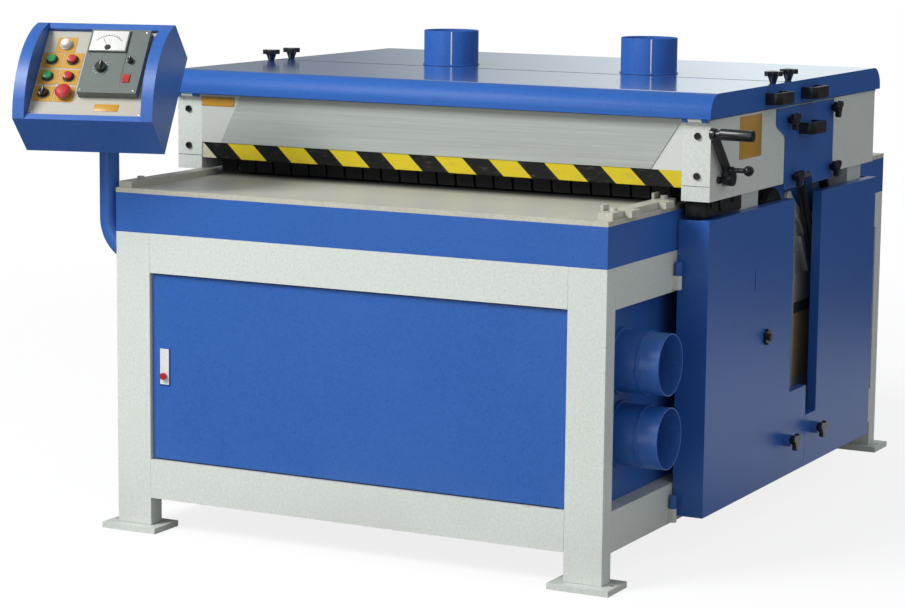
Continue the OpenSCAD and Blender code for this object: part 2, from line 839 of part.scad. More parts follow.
module hood_profile(y0, y1, z0, z1, r) {
    translate([y0, z0]) square([y1 - y0, z1 - z0 - r]);
    translate([y0 + r, z0]) square([y1 - y0 - r, z1 - z0]);
    intersection() {
        translate([y0 + r, z1 - r]) circle(r = r);
        translate([y0, z1 - r]) square([r, r]);
    }
}

module hood_knuckle_at(x) {
    axis_y = hood_reach - hood_axis_off;
    difference() {
        union() {
            rod_x(x - 7, x + 7, axis_y, hood_axis_z, hood_hinge_r);
            block([x - 7, hood_t - eps, hood_axis_z], [x + 7, axis_y, hood_low + 10]);
        }
        rod_x(x - 8, x + 8, axis_y, hood_axis_z, hood_pin_r + run_fit);
    }
}

// Two handles on the side flanges and two clamp knobs of a hood half
module hood_fittings(len, handle_back) {
    knob_y = len + seam_gap / 2 - hood_knob_off;
    both_sides() {
        translate([hood_x, len + seam_gap / 2 - handle_back, hood_low + hood_h / 2 - 3]) bow_handle();
        translate([hood_knob_x, knob_y, hood_top]) lobe_knob(18, hood_top - hood_low + 1);
    }
}

module from_front() {
    translate([0, -head_front - hood_reach, 0]) children();
}

module from_rear() {
    translate([0, head_rear + hood_reach, 0]) mirror([0, 1, 0]) children();
}

front_len = head_front + hood_reach - hood_seam - seam_gap / 2;
rear_len = head_rear + hood_reach + hood_seam - seam_gap / 2;
port_y = -hood_seam + port_from_seam + port_d / 2;

module hood_front() {
    color(blue_c) from_front() hood_half(front_len);
}

module hood_rear() {
    color(blue_c) difference() {
        from_rear() hood_half(rear_len);
        for (x = [port_left_x, port_right_x])
            rod_z(hood_top - hood_t - 1, hood_top + 1, x, port_y, port_d / 2 - port_wall - 1);
    }
}

module hood_front_fittings() {
    color(black_c) from_front() hood_fittings(front_len, 110);
}

module hood_rear_fittings() {
    color(black_c) from_rear() hood_fittings(rear_len, 146);
}

module top_dust_ports() {
    color(blue_c) for (x = [port_left_x, port_right_x]) difference() {
        union() {
            rod_z(hood_top, hood_top + port_h, x, port_y, port_d / 2);
            rod_z(hood_top, hood_top + 3, x, port_y, port_d / 2 + 3);
        }
        rod_z(hood_top - 1, hood_top + port_h + 1, x, port_y, port_d / 2 - port_wall);
    }
}

module front_door() {
    low = [-door_open_x + door_edge, cab_door_y, lower_rail_top + door_edge];
    high = [door_open_x - door_edge, cab_door_y + door_dep, upper_rail_z - door_edge];
    color(blue_c) difference() {
        union() {
            difference() {
                block(low, high);
                block(low + [sheet_t, sheet_t, sheet_t], high + [-sheet_t - 20, 1, -sheet_t]);
            }
            rod_z(low[2] - cab_pin_len + 2, high[2] + cab_pin_len - 2, cab_pin_x, cab_pin_y, cab_pin_r);
            block([lock_x - lock_w / 2, cab_door_y - 3, lock_z - lock_h / 2],
                [lock_x + lock_w / 2, cab_door_y + eps, lock_z + lock_h / 2]);
        }
        translate([lock_x, cab_door_y + sheet_t + 1, lock_z - lock_drop]) rotate([90, 0, 0])
            cylinder(h = 8, r = stem_r + run_fit);
    }
}

module lock_button() {
    face_y = cab_door_y - 4 - button_travel;
    color("firebrick") translate([lock_x, face_y, lock_z - lock_drop]) rotate([-90, 0, 0]) {
        translate([0, 0, -6]) cylinder(h = 6 + eps, r = 9);
        cylinder(h = 20, r = stem_r);
    }
}

// Pressed-sheet door: skin, deep wall on the hinge edge and sill, narrow returns on the other edges
module belt_door(points, hinge_y, sign) {
    skin_x = door_out_x - sheet_t;
    along_x(skin_x, door_out_x) polygon(points);
    along_x(door_out_x - door_flange, skin_x + eps) difference() {
        polygon(points);
        edge_inset(points, sheet_t);
    }
    wall = sign > 0 ? [hinge_y, hinge_y + sheet_t] : [hinge_y - sheet_t, hinge_y];
    block([door_in_x, wall[0], door_low], [skin_x + eps, wall[1], door_top]);
    sill = sign > 0 ? [hinge_y, door_meet - joint_gap] : [door_meet + joint_gap, hinge_y];
    block([door_in_x, sill[0], door_low], [skin_x + eps, sill[1], door_low + sheet_t]);
    for (z = hinge_rows) difference() {
        union() {
            rod_z(z + pass_gap, z + hinge_half, hinge_x, hinge_y - sign * hinge_off, hinge_r);
            block([hinge_x - 5, min(hinge_y, hinge_y - sign * hinge_off), z + pass_gap],
                [hinge_x + 5, max(hinge_y, hinge_y - sign * hinge_off), z + hinge_half]);
        }
        rod_z(z, z + hinge_half + 1, hinge_x, hinge_y - sign * hinge_off, hinge_pin_r + run_fit);
    }
}

// The stepped outline moved in by a wall on each of its edges
module edge_inset(points, t) {
    low = points[0];
    step = points[2];
    top = points[4];
    sign = top[0] > points[5][0] ? 1 : -1;
    back = points[5][0] + sign * t;
    polygon([[back, low[1] + t], [step[0] - sign * t, low[1] + t], [step[0] - sign * t, step[1] - t],
        [top[0] - sign * t, step[1] - t], [top[0] - sign * t, top[1] - t], [back, top[1] - t]]);
}

function front_door_points() = [[door_front, door_low], [door_meet - joint_gap, door_low],
    [door_meet - joint_gap, step_front_z], [slot_front, step_front_z], [slot_front, door_top],
    [door_front, door_top]];
function rear_door_points() = [[door_rear, door_low], [door_meet + joint_gap, door_low],
    [door_meet + joint_gap, step_rear_z], [slot_rear, step_rear_z], [slot_rear, door_top],
    [door_rear, door_top]];
function front_knob_at() = [-3, door_knob_z];
function rear_knob_at() = [203, door_knob_z];
function door_lock_at() = [-165, 501];

module knob_boss(at) {
    rod_x(door_out_x - eps, door_out_x + boss_h, at[0], at[1], 16);
}

module knob_bore(at) {
    rod_x(door_in_x, door_out_x + boss_h + 1, at[0], at[1], knob_stud_r - 1 + run_fit);
}

module belt_door_front() {
    color(blue_c) difference() {
        union() {
            belt_door(front_door_points(), door_front, 1);
            knob_boss(front_knob_at());
        }
        knob_bore(front_knob_at());
        block([door_out_x - sheet_t - 1, door_front + 316, door_top - 210],
            [door_out_x + 1, door_front + 320, door_top - 155]);
        rod_x(door_in_x, door_out_x + 1, door_lock_at()[0], door_lock_at()[1], stem_r + run_fit);
    }
}

module belt_door_rear() {
    color(blue_c) difference() {
        union() {
            belt_door(rear_door_points(), door_rear, -1);
            knob_boss(rear_knob_at());
        }
        knob_bore(rear_knob_at());
    }
}

module door_knob(at) {
    color(black_c) translate([door_out_x + boss_h, at[0], at[1]]) rotate([0, 90, 0]) lobe_knob(6, 36);
}

module belt_door_front_knob() {
    door_knob(front_knob_at());
}

module belt_door_rear_knob() {
    door_knob(rear_knob_at());
}

module belt_door_lock() {
    color(black_c) translate([door_out_x, door_lock_at()[0], door_lock_at()[1]]) rotate([0, 90, 0]) {
        translate([0, 0, -sheet_t - 4]) cylinder(h = sheet_t + 4 + eps, r = stem_r);
        cylinder(h = 8, r = 15);
        for (i = [0:5]) rotate(i * 60) translate([14, 0, 0]) cylinder(h = 8, r = 7);
        translate([0, 0, 8 - eps]) cylinder(h = 8, r = 9);
    }
}

// Shaft with spacer collars between the blades and the pulley at its belt end
module arbor(y, z, left_x) {
    color(steel_c) {
        rod_x(left_x, pulley_x1 + 4, y, z, arbor_r);
        for (i = [0:blade_n - 2]) translate([blade_x0 + i * blade_pitch, 0, 0])
            rod_x(blade_t / 2, blade_pitch - blade_t / 2, y, z, arbor_r + 10);
        both_sides() rod_x(blade_t / 2 - blade_x0, blade_t / 2 - blade_x0 + collar_w, y, z, arbor_r + 14);
    }
    color(grey_c) grooved_pulley(y, z, arbor_pulley_r);
}

module saw_blades(y, z) {
    color(steel_c) for (i = [0:blade_n - 1])
        along_x(blade_x0 + i * blade_pitch - blade_t / 2, blade_x0 + i * blade_pitch + blade_t / 2)
            translate([y, z]) difference() {
                polygon(blade_points(blade_r, blade_teeth));
                circle(r = arbor_r + run_fit);
            }
}

module upper_arbor() {
    arbor(upper_y, upper_z, -house_in_x + 1);
}

module upper_saw_blades() {
    saw_blades(upper_y, upper_z);
}

module lower_arbor() {
    arbor(lower_y, lower_z, -apron_in_x + 1);
}

module lower_saw_blades() {
    saw_blades(lower_y, lower_z);
}

module motor_pulley(y) {
    color(grey_c) {
        rod_x(motor_face_x - 58, pulley_x1 + 4, y, motor_z, motor_shaft_r);
        grooved_pulley(y, motor_z, motor_pulley_r);
    }
}

module motor_pulley_front() {
    motor_pulley(-motor_front_fwd);
}

module motor_pulley_rear() {
    motor_pulley(motor_rear_back);
}

module lower_feed_roller(y) {
    color(steel_c) {
        rod_x(-lower_face_x, lower_face_x, y, lower_roller_z, roller_r);
        rod_x(-side_x - 76, side_x - 1, y, lower_roller_z, lower_journal_r);
    }
}

module lower_feed_roller_front() {
    lower_feed_roller(-roller_y);
}

module lower_feed_roller_rear() {
    lower_feed_roller(roller_y);
}

module upper_feed_roller(y) {
    color(black_c) {
        rod_x(-upper_face_x, upper_face_x, y, upper_roller_z, roller_r);
        rod_x(-bracket_x1 + 1, bracket_x1 - 1, y, upper_roller_z, upper_journal_r);
    }
}

module upper_feed_roller_front() {
    upper_feed_roller(-roller_y);
}

module upper_feed_roller_rear() {
    upper_feed_roller(roller_y);
}

// Cross beams that ride on the guide posts and carry the pressure rollers in end brackets
module pressure_beams() {
    beam_x = house_in_x - 11;
    color(grey_c) for (y = [-roller_y, roller_y]) difference() {
        union() {
            block([-beam_x, y - press_half, press_low], [beam_x, y + press_half, press_high]);
            both_sides() block([bracket_x0, y - press_half, upper_roller_z - press_half],
                [bracket_x1, y + press_half, press_low + eps]);
        }
        both_sides() rod_z(press_low - 1, press_high + 1, post_x, y, post_r + run_fit);
        rod_x(-bracket_x1 - 1, bracket_x1 + 1, y, upper_roller_z, upper_journal_r + run_fit);
    }
}

// Crank with its arm, hub and side grip
module at_crank() {
    translate([0, crank_y, crank_z]) rotate([crank_turn, 0, 0]) children();
}

module hand_crank() {
    color(black_c) difference() {
        union() {
            rod_x(house_in_x + 16, crank_face, crank_y, crank_z, crank_shaft_r);
            at_crank() {
                rod_x(house_out_x + 2, crank_face + arm_t + 4, 0, 0, 20);
                along_x(crank_face, crank_face + arm_t) {
                    translate([-11, 0]) square([22, crank_r]);
                    translate([0, crank_r]) circle(r = 14);
                }
                rod_x(crank_face + arm_t - eps, crank_face + arm_t + 12, 0, crank_r, 10);
                rod_x(crank_face + arm_t + 12 - eps, crank_face + arm_t + 95, 0, crank_r, 14);
            }
        }
        at_crank() rod_x(crank_face - 1, crank_face + arm_t + 1, 0, crank_pin_at, crank_pin_r + run_fit);
    }
}

module crank_lock_pin() {
    color(black_c) at_crank() {
        rod_x(crank_face, crank_face + crank_pin_len - 2, 0, crank_pin_at, crank_pin_r);
        translate([crank_face + crank_pin_len, 0, crank_pin_at]) sphere(r = 13);
        rod_x(crank_face + arm_t + 0.4, crank_face + arm_t + 10, 0, crank_pin_at, 9);
    }
}

module kickback_fingers() {
    drop = finger_z - finger_tip_z;
    color(grey_c) for (i = [0:finger_n - 1]) {
        x = (i - (finger_n - 1) / 2) * finger_pitch;
        along_x(x - finger_half, x + finger_half) translate([finger_y, finger_z]) difference() {
            union() {
                circle(r = 16);
                polygon([[-13, 0], [13, 0], [10, 24 - drop], [-2, -drop], [-9, 30 - drop]]);
            }
            circle(r = finger_rod_r + run_fit);
        }
    }
}

// Places on the console: its own frame turns about the arm, its face frame lies on the slope
module on_console() {
    translate([arm_x, arm_y, 0]) rotate(console_yaw) children();
}

module on_face() {
    on_console() translate([0, -console_lip_fwd, console_lip_z]) rotate([console_tilt, 0, 0]) children();
}

module at_control(at, n) {
    on_face() translate([at[0], at[1], n]) children();
}

panel_controls = [start_upper_at, start_lower_at, stop_upper_at, stop_lower_at, selector_at, stop_all_at];

module console_case() {
    color(blue_c) difference() {
        union() {
            on_face() block([-console_w / 2, 0, -console_dep], [console_w / 2, console_len, 0]);
            on_face() both_sides() along_x(recess_u, console_w / 2) intersection() {
                translate([console_len / 2, cheek_h - cheek_r]) circle(r = cheek_r);
                translate([0, -eps]) square([console_len, cheek_h + 1]);
            }
            on_console() rod_z(console_lip_z - 13, arm_top - 20, 0, 0, arm_r + 13);
        }
        on_face() block([-recess_u, recess_low, -panel_dep], [recess_u, recess_high, 1]);
        on_console() rod_z(console_lip_z - 14, arm_top + 5, 0, 0, arm_r + run_fit);
        for (at = panel_controls) at_control(at, -panel_dep - 20) cylinder(h = 21, r = stem_r + 1);
    }
}

module console_panel() {
    edge = 1;
    color([0.72, 0.70, 0.62]) difference() {
        union() {
            on_face() block([edge - recess_u, recess_low + edge, -panel_dep],
                [recess_u - edge, recess_high - edge, face_n]);
            for (at = panel_controls) at_control(at, face_n - eps) cylinder(h = 3, r = cap_r + 4);
            at_control(lamp_at, face_n - eps) cylinder(h = 5, r = 16);
            at_control(lamp_at, face_n - eps) cylinder(h = 12, r = 12);
        }
        for (at = panel_controls) {
            at_control(at, -panel_dep - 1) cylinder(h = panel_dep, r = stem_r + run_fit);
            at_control(at, face_n) cylinder(h = 4, r = cap_r + pass_gap);
        }
    }
}

module controller_box() {
    color(grey_c) difference() {
        union() {
            on_face() block([ctl_low[0], ctl_low[1], face_n], [ctl_high[0], ctl_high[1], ctl_n]);
            on_face() block([ctl_low[0] + 4, ctl_high[1] - 72, ctl_n - eps],
                [ctl_low[0] + 102, ctl_high[1] - 6, ctl_n + 5]);
        }
        for (at = [speed_at, trim_at]) at_control(at, ctl_n - 16) cylinder(h = 17, r = stem_r + run_fit);
        at_control(rocker_at, ctl_n - 6) rotate([0, 90, 0]) {
            translate([0, 0, -rocker_w / 2 - pass_gap])
                cylinder(h = rocker_w + 2 * pass_gap, r = rocker_r + pass_gap);
            translate([0, 0, -rocker_w / 2 - 4]) cylinder(h = rocker_w + 8, r = rocker_pin_r + run_fit);
        }
    }
}

module push_button(at, tint) {
    color(tint) at_control(at, cap_n) {
        cylinder(h = 9, r = cap_r);
        translate([0, 0, -panel_dep - 8]) cylinder(h = panel_dep + 8 + eps, r = stem_r);
    }
}

module start_button_upper() {
    push_button(start_upper_at, "seagreen");
}

module start_button_lower() {
    push_button(start_lower_at, "seagreen");
}

module stop_button_upper() {
    push_button(stop_upper_at, "firebrick");
}

module stop_button_lower() {
    push_button(stop_lower_at, "firebrick");
}

module emergency_stop() {
    color("firebrick") at_control(stop_all_at, cap_n) {
        cylinder(h = 6, r = cap_r);
        translate([0, 0, 6 - eps]) cylinder(h = 7, r = 20);
        translate([0, 0, 13 - 2 * eps]) cylinder(h = 5, r1 = 20, r2 = 14);
        translate([0, 0, -panel_dep - 8]) cylinder(h = panel_dep + 8 + eps, r = stem_r);
    }
}

// Turning knob with a grip bar across its top
module turn_knob(r, h, stem) {
    cylinder(h = h, r = r);
    translate([-r / 4, -r, h - eps]) cube([r / 2, 2 * r, h / 2]);
    translate([0, 0, -stem]) cylinder(h = stem + eps, r = stem_r);
}

module mode_selector() {
    color(black_c) at_control(selector_at, cap_n) turn_knob(cap_r, 8, panel_dep + 8);
}

module speed_knob() {
    color(black_c) at_control(speed_at, ctl_n + 0.3) turn_knob(14, 9, 15);
}

module trim_knob() {
    color(black_c) at_control(trim_at, ctl_n + 0.3) turn_knob(8, 8, 15);
}

module power_rocker() {
    color("firebrick") at_control(rocker_at, ctl_n - 6) rotate([0, 90, 0]) {
        difference() {
            translate([0, 0, -rocker_w / 2]) cylinder(h = rocker_w, r = rocker_r);
            block([-rocker_r - 1, -rocker_r, -rocker_w], [-9, rocker_r, rocker_w]);
        }
        translate([0, 0, -rocker_w / 2 - 3]) cylinder(h = rocker_w + 6, r = rocker_pin_r);
    }
}

base_posts();
base_rails();
foot_plates();
table_apron();
table_plates();
body_panels();
lower_dust_pipes();
hinge_brackets();
electrical_panel();
main_motors();
motor_mounts();
arbor_bearings();
drive_belts();
end_housing_left();
end_housing_right();
head_beams();
guard_plates();
upper_belt_guard();
clamp_knobs();
guide_rods();
feed_fences();
console_arm();
hood_front();
hood_front_fittings();
hood_rear();
hood_rear_fittings();
top_dust_ports();
front_door();
lock_button();
belt_door_front();
belt_door_rear();
belt_door_front_knob();
belt_door_rear_knob();
belt_door_lock();
upper_arbor();
upper_saw_blades();
lower_arbor();
lower_saw_blades();
motor_pulley_front();
motor_pulley_rear();
lower_feed_roller_front();
lower_feed_roller_rear();
upper_feed_roller_front();
upper_feed_roller_rear();
pressure_beams();
hand_crank();
crank_lock_pin();
kickback_fingers();
console_case();
console_panel();
controller_box();
start_button_upper();
start_button_lower();
stop_button_upper();
stop_button_lower();
emergency_stop();
mode_selector();
speed_knob();
trim_knob();
power_rocker();
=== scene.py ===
import json
import math

import bmesh
import bpy
from mathutils import Matrix, Vector


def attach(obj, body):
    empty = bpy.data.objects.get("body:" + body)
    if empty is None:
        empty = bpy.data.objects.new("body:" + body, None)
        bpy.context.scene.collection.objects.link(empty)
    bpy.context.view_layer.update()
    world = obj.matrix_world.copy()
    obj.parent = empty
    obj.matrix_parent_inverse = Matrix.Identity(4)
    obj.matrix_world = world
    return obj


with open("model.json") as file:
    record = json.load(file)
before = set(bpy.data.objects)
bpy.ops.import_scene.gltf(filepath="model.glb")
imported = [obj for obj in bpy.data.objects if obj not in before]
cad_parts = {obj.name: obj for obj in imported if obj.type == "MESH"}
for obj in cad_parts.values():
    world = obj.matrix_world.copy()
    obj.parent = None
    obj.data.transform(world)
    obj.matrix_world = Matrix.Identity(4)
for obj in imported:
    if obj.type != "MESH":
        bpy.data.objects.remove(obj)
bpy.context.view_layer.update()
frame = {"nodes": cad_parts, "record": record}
nodes = frame["nodes"]
slotOf = {part["node"]: part["material_slot"] for part in frame["record"]["subparts"]}
print("frame loaded with", len(nodes), "nodes")

# camera, fitted to the photograph's straight edges; angles in degrees
shot = {
    "position": (3.2217, -6.6637, 1.6311),
    "azimuth": 27.37,
    "elevation": 8.69,
    "roll": 0.60,
    "focalPixels": 2727.55,
    "imageWidth": 905,
    "sensor": 36.0,
    "farClip": 200.0,
}


def makeCamera():
    azimuth, elevation, roll = (
        math.radians(shot[key]) for key in ("azimuth", "elevation", "roll"))
    level = math.cos(elevation)
    forward = Vector(
        (-math.sin(azimuth) * level, math.cos(azimuth) * level, -math.sin(elevation)))
    right = Vector((math.cos(azimuth), math.sin(azimuth), 0.0))
    up = right.cross(forward)
    turnedRight = right * math.cos(roll) + up * math.sin(roll)
    turnedUp = up * math.cos(roll) - right * math.sin(roll)
    lens = bpy.data.cameras.new("camera")
    lens.sensor_width = shot["sensor"]
    lens.sensor_fit = "HORIZONTAL"
    lens.lens = shot["focalPixels"] * shot["sensor"] / shot["imageWidth"]
    lens.clip_end = shot["farClip"]
    camera = bpy.data.objects.new("camera", lens)
    rows = zip(turnedRight, turnedUp, -forward, shot["position"])
    camera.matrix_world = Matrix((*rows, (0.0, 0.0, 0.0, 1.0)))
    bpy.context.scene.collection.objects.link(camera)
    bpy.context.scene.camera = camera


makeCamera()
bpy.context.scene.view_settings.view_transform = "Standard"
print("camera ready")


# inputs of a shader node: a socket is linked, a value is set
def feed(tree, node, inputs):
    for key, value in inputs.items():
        if isinstance(value, bpy.types.NodeSocket):
            tree.links.new(value, node.inputs[key])
        else:
            node.inputs[key].default_value = value


def addNode(tree, kind, inputs=None, **settings):
    node = tree.nodes.new("ShaderNode" + kind)
    for key, value in settings.items():
        setattr(node, key, value)
    feed(tree, node, inputs or {})
    return node


def rgba(colour):
    return (*colour, 1.0)


def mixColour(tree, factor, first, second):
    inputs = {0: factor}
    for index, colour in ((6, first), (7, second)):  # the colour sockets of a mix node
        inputs[index] = colour if isinstance(colour, bpy.types.NodeSocket) else rgba(colour)
    return addNode(tree, "Mix", inputs, data_type="RGBA", blend_type="MIX").outputs[2]


def maths(tree, operation, *values):
    return addNode(tree, "Math", dict(enumerate(values)), operation=operation).outputs["Value"]


def measure(tree, operation, *vectors):
    node = addNode(tree, "VectorMath", dict(enumerate(vectors)), operation=operation)
    return node.outputs["Value"]


def spread(tree, value, low, high, toLow=0.0, toHigh=1.0, **settings):
    inputs = {"Value": value, "From Min": low, "From Max": high, "To Min": toLow, "To Max": toHigh}
    return addNode(tree, "MapRange", inputs, **settings).outputs["Result"]


def between(tree, factor, first, second):
    return spread(tree, factor, 0.0, 1.0, first, second)


def noise(tree, place, scale, detail, rough=0.55):
    inputs = {"Vector": place, "Scale": scale, "Detail": detail, "Roughness": rough}
    return addNode(tree, "TexNoise", inputs).outputs["Fac"]


def stretched(tree, place, scale):
    return addNode(tree, "Mapping", {"Vector": place, "Scale": scale}).outputs["Vector"]


def axesOf(tree, place):
    return addNode(tree, "SeparateXYZ", {"Vector": place}).outputs


def startFinish(name):
    material = bpy.data.materials.new(name)
    material.use_nodes = True
    tree = material.node_tree
    shader = tree.nodes["Principled BSDF"]
    place = addNode(tree, "TexCoord").outputs["Object"]
    return material, tree, shader, place


bumpStrength = 0.6


def roughen(tree, shader, height, depth):
    bump = addNode(tree, "Bump", {"Height": height, "Strength": bumpStrength, "Distance": depth})
    feed(tree, shader, {"Normal": bump.outputs["Normal"]})


# what all paints share: noises, and the range of each that turns into tone
spray = {
    "grainDetail": 2.0, "grainRange": (0.32, 0.68), "roughRange": (0.2, 0.8), "peelDetail": 2.0,
    "cloud": {"scale": 3.5, "detail": 4.0}, "cloudRange": (0.35, 0.75), "dustRange": (0.3, 0.7),
    "scratch": {"scale": 3.0, "detail": 5.0, "rough": 0.7}, "scratchRange": (0.70, 0.78),
    "scratchStretch": (9.0, 9.0, 260.0),
}


# sprayed paint: mottled tone, orange peel, faint clouds and dust that gathers low down
def paintFinish(name, recipe):
    material, tree, shader, place = startFinish(name)
    grain = noise(tree, place, recipe["grainScale"], spray["grainDetail"])
    cloud = noise(tree, place, **spray["cloud"])
    tone = mixColour(
        tree, spread(tree, grain, *spray["grainRange"]), recipe["dark"], recipe["light"])
    clouding = spread(tree, cloud, *spray["cloudRange"], 0.0, recipe["clouding"])
    tone = mixColour(tree, clouding, tone, recipe["cloud"])
    height = axesOf(tree, place)["Z"]
    low = spread(tree, height, recipe["dustTop"], 0.0)
    dust = maths(tree, "MULTIPLY", low, spread(tree, cloud, *spray["dustRange"]))
    tone = mixColour(tree, between(tree, dust, 0.0, recipe["dusting"]), tone, recipe["dust"])
    scratch = noise(tree, stretched(tree, place, spray["scratchStretch"]), **spray["scratch"])
    scuffing = spread(tree, scratch, *spray["scratchRange"], 0.0, recipe["scuffing"])
    tone = mixColour(tree, scuffing, tone, recipe["scuff"])
    if "shadowTone" in recipe:  # painted shadow on the table, near black, in front of the fingers and behind the head
        depth = maths(tree, "ABSOLUTE", axesOf(tree, place)["Y"])
        outer = spread(tree, depth, *recipe["shadowOut"])
        shadowBand = maths(tree, "MULTIPLY", outer, spread(tree, depth, *recipe["shadowIn"]))
        tone = mixColour(tree, shadowBand, tone, recipe["shadowTone"])
    rough = spread(tree, grain, *spray["roughRange"], *recipe["roughness"])
    peel = noise(tree, place, recipe["peelScale"], spray["peelDetail"])
    roughen(tree, shader, peel, recipe["peelDepth"])
    coat, shine = recipe["coat"], recipe["shine"]
    feed(tree, shader, {
        "Base Color": tone, "Coat Weight": coat, "Coat Roughness": recipe["coatRoughness"],
        "Specular IOR Level": shine})
    if "polished" in recipe:  # gloss on the flat top alone
        flat = maths(tree, "COMPARE", height, recipe["polished"], recipe["polishedBand"])
        smooth = between(tree, flat, 1.0, recipe["polishedSmooth"])
        rough = maths(tree, "MULTIPLY", rough, smooth)
        feed(tree, shader, {
            "Coat Weight": between(tree, flat, 0.0, coat),
            "Specular IOR Level": between(tree, flat, shine, recipe["polishedShine"])})
    feed(tree, shader, {"Roughness": rough})
    return material


# what all metals share
grind = {
    "streak": {"scale": 1.0, "detail": 4.0, "rough": 0.65}, "streakRange": (0.3, 0.7),
    "stainDetail": 4.0, "stainRange": (0.5, 0.8), "roughRange": (0.25, 0.75),
}


# ground, brushed or machined metal: streaks along one axis, stains and handling marks
def metalFinish(name, recipe):
    material, tree, shader, place = startFinish(name)
    streaks = noise(tree, stretched(tree, place, recipe["streak"]), **grind["streak"])
    stain = noise(tree, place, recipe["stainScale"], grind["stainDetail"])
    tone = mixColour(
        tree, spread(tree, streaks, *grind["streakRange"]), recipe["dark"], recipe["light"])
    staining = spread(tree, stain, *grind["stainRange"], 0.0, recipe["staining"])
    tone = mixColour(tree, staining, tone, recipe["stain"])
    if "darkFrom" in recipe:  # oiled iron of the pulleys at the belt end
        pulley = maths(tree, "GREATER_THAN", axesOf(tree, place)["X"], recipe["darkFrom"])
        tone = mixColour(tree, pulley, tone, recipe["pulley"])
    if "bareSlope" in recipe:  # left end of the plate, painted like the housings
        axes = axesOf(tree, place)
        edge = maths(tree, "MULTIPLY_ADD", axes["Z"], -recipe["bareSlope"], axes["X"])
        painted = maths(tree, "LESS_THAN", edge, recipe["bareFrom"])
        tone = mixColour(tree, painted, tone, recipe["painted"])
    feed(tree, shader, {
        "Base Color": tone, "Metallic": recipe["metallic"], "Specular IOR Level": recipe["shine"],
        "Roughness": spread(tree, streaks, *grind["roughRange"], *recipe["roughness"])})
    roughen(tree, shader, streaks, recipe["streakDepth"])
    return material


# what all plastics and rubbers share
mould = {
    "grainDetail": 3.0, "grainRange": (0.3, 0.7), "wear": {"scale": 22.0, "detail": 4.0},
    "wearRange": (0.52, 0.8), "roughRange": (0.25, 0.75), "coatRoughness": 0.12,
}


# moulded plastic or rubber: fine grain, worn lighter patches
def mouldFinish(name, recipe):
    material, tree, shader, place = startFinish(name)
    grain = noise(tree, place, recipe["grainScale"], mould["grainDetail"])
    wear = noise(tree, place, **mould["wear"])
    tone = mixColour(
        tree, spread(tree, grain, *mould["grainRange"]), recipe["dark"], recipe["light"])
    wearing = spread(tree, wear, *mould["wearRange"], 0.0, recipe["wearing"])
    tone = mixColour(tree, wearing, tone, recipe["wear"])
    feed(tree, shader, {
        "Base Color": tone, "Coat Weight": recipe["coat"], "Coat Roughness": mould["coatRoughness"],
        "Roughness": spread(tree, wear, *mould["roughRange"], *recipe["roughness"])})
    roughen(tree, shader, grain, recipe["grainDepth"])
    return material


bluePaint = {
    "dark": (0.021, 0.100, 0.375), "light": (0.031, 0.123, 0.435), "grainScale": 190.0,
    "cloud": (0.037, 0.138, 0.460), "clouding": 0.35,
    "dust": (0.15, 0.20, 0.30), "dusting": 0.12, "dustTop": 0.35,
    "scuff": (0.09, 0.19, 0.48), "scuffing": 0.16, "roughness": (0.26, 0.38),
    "peelScale": 420.0, "peelDepth": 0.0004, "coat": 0.0, "coatRoughness": 0.16, "shine": 0.50,
}
hoodPaint = dict(
    bluePaint, coat=1.0, coatRoughness=0.13, shine=0.18, roughness=(0.40, 0.52),
    polished=1.148, polishedBand=0.0008, polishedShine=0.5, polishedSmooth=0.45)
frameEnamel = {
    "dark": (0.575, 0.615, 0.570), "light": (0.675, 0.710, 0.662), "grainScale": 150.0,
    "cloud": (0.610, 0.640, 0.600), "clouding": 0.30,
    "dust": (0.33, 0.32, 0.28), "dusting": 0.30, "dustTop": 0.22,
    "scuff": (0.42, 0.43, 0.42), "scuffing": 0.22, "roughness": (0.40, 0.55),
    "peelScale": 260.0, "peelDepth": 0.0008, "coat": 0.10, "coatRoughness": 0.30, "shine": 0.30,
}
tableEnamel = {
    "dark": (0.475, 0.465, 0.385), "light": (0.560, 0.550, 0.470), "grainScale": 120.0,
    "cloud": (0.400, 0.395, 0.330), "clouding": 0.40,
    "dust": (0.50, 0.50, 0.46), "dusting": 0.0, "dustTop": 0.1,
    "scuff": (0.36, 0.36, 0.33), "scuffing": 0.30, "roughness": (0.34, 0.52),
    "peelScale": 300.0, "peelDepth": 0.0003, "coat": 0.10, "coatRoughness": 0.25, "shine": 0.40,
    # painted shadow of the fingers and the head: a near-black band across the table on both sides
    # of the head
    "shadowTone": (0.035, 0.036, 0.032), "shadowOut": (0.640, 0.555), "shadowIn": (0.430, 0.530),
}
machineGrey = {
    "dark": (0.155, 0.165, 0.170), "light": (0.190, 0.200, 0.205), "grainScale": 170.0,
    "cloud": (0.140, 0.148, 0.150), "clouding": 0.40,
    "dust": (0.27, 0.25, 0.21), "dusting": 0.35, "dustTop": 0.5,
    "scuff": (0.30, 0.30, 0.30), "scuffing": 0.25, "roughness": (0.38, 0.55),
    "peelScale": 240.0, "peelDepth": 0.0006, "coat": 0.10, "coatRoughness": 0.3, "shine": 0.40,
}
panelEnamel = {
    "dark": (0.415, 0.395, 0.330), "light": (0.480, 0.460, 0.395), "grainScale": 320.0,
    "cloud": (0.44, 0.42, 0.38), "clouding": 0.5,
    "dust": (0.4, 0.4, 0.4), "dusting": 0.0, "dustTop": 0.1,
    "scuff": (0.36, 0.35, 0.32), "scuffing": 0.2, "roughness": (0.30, 0.46),
    "peelScale": 600.0, "peelDepth": 0.0002, "coat": 0.2, "coatRoughness": 0.2, "shine": 0.40,
}
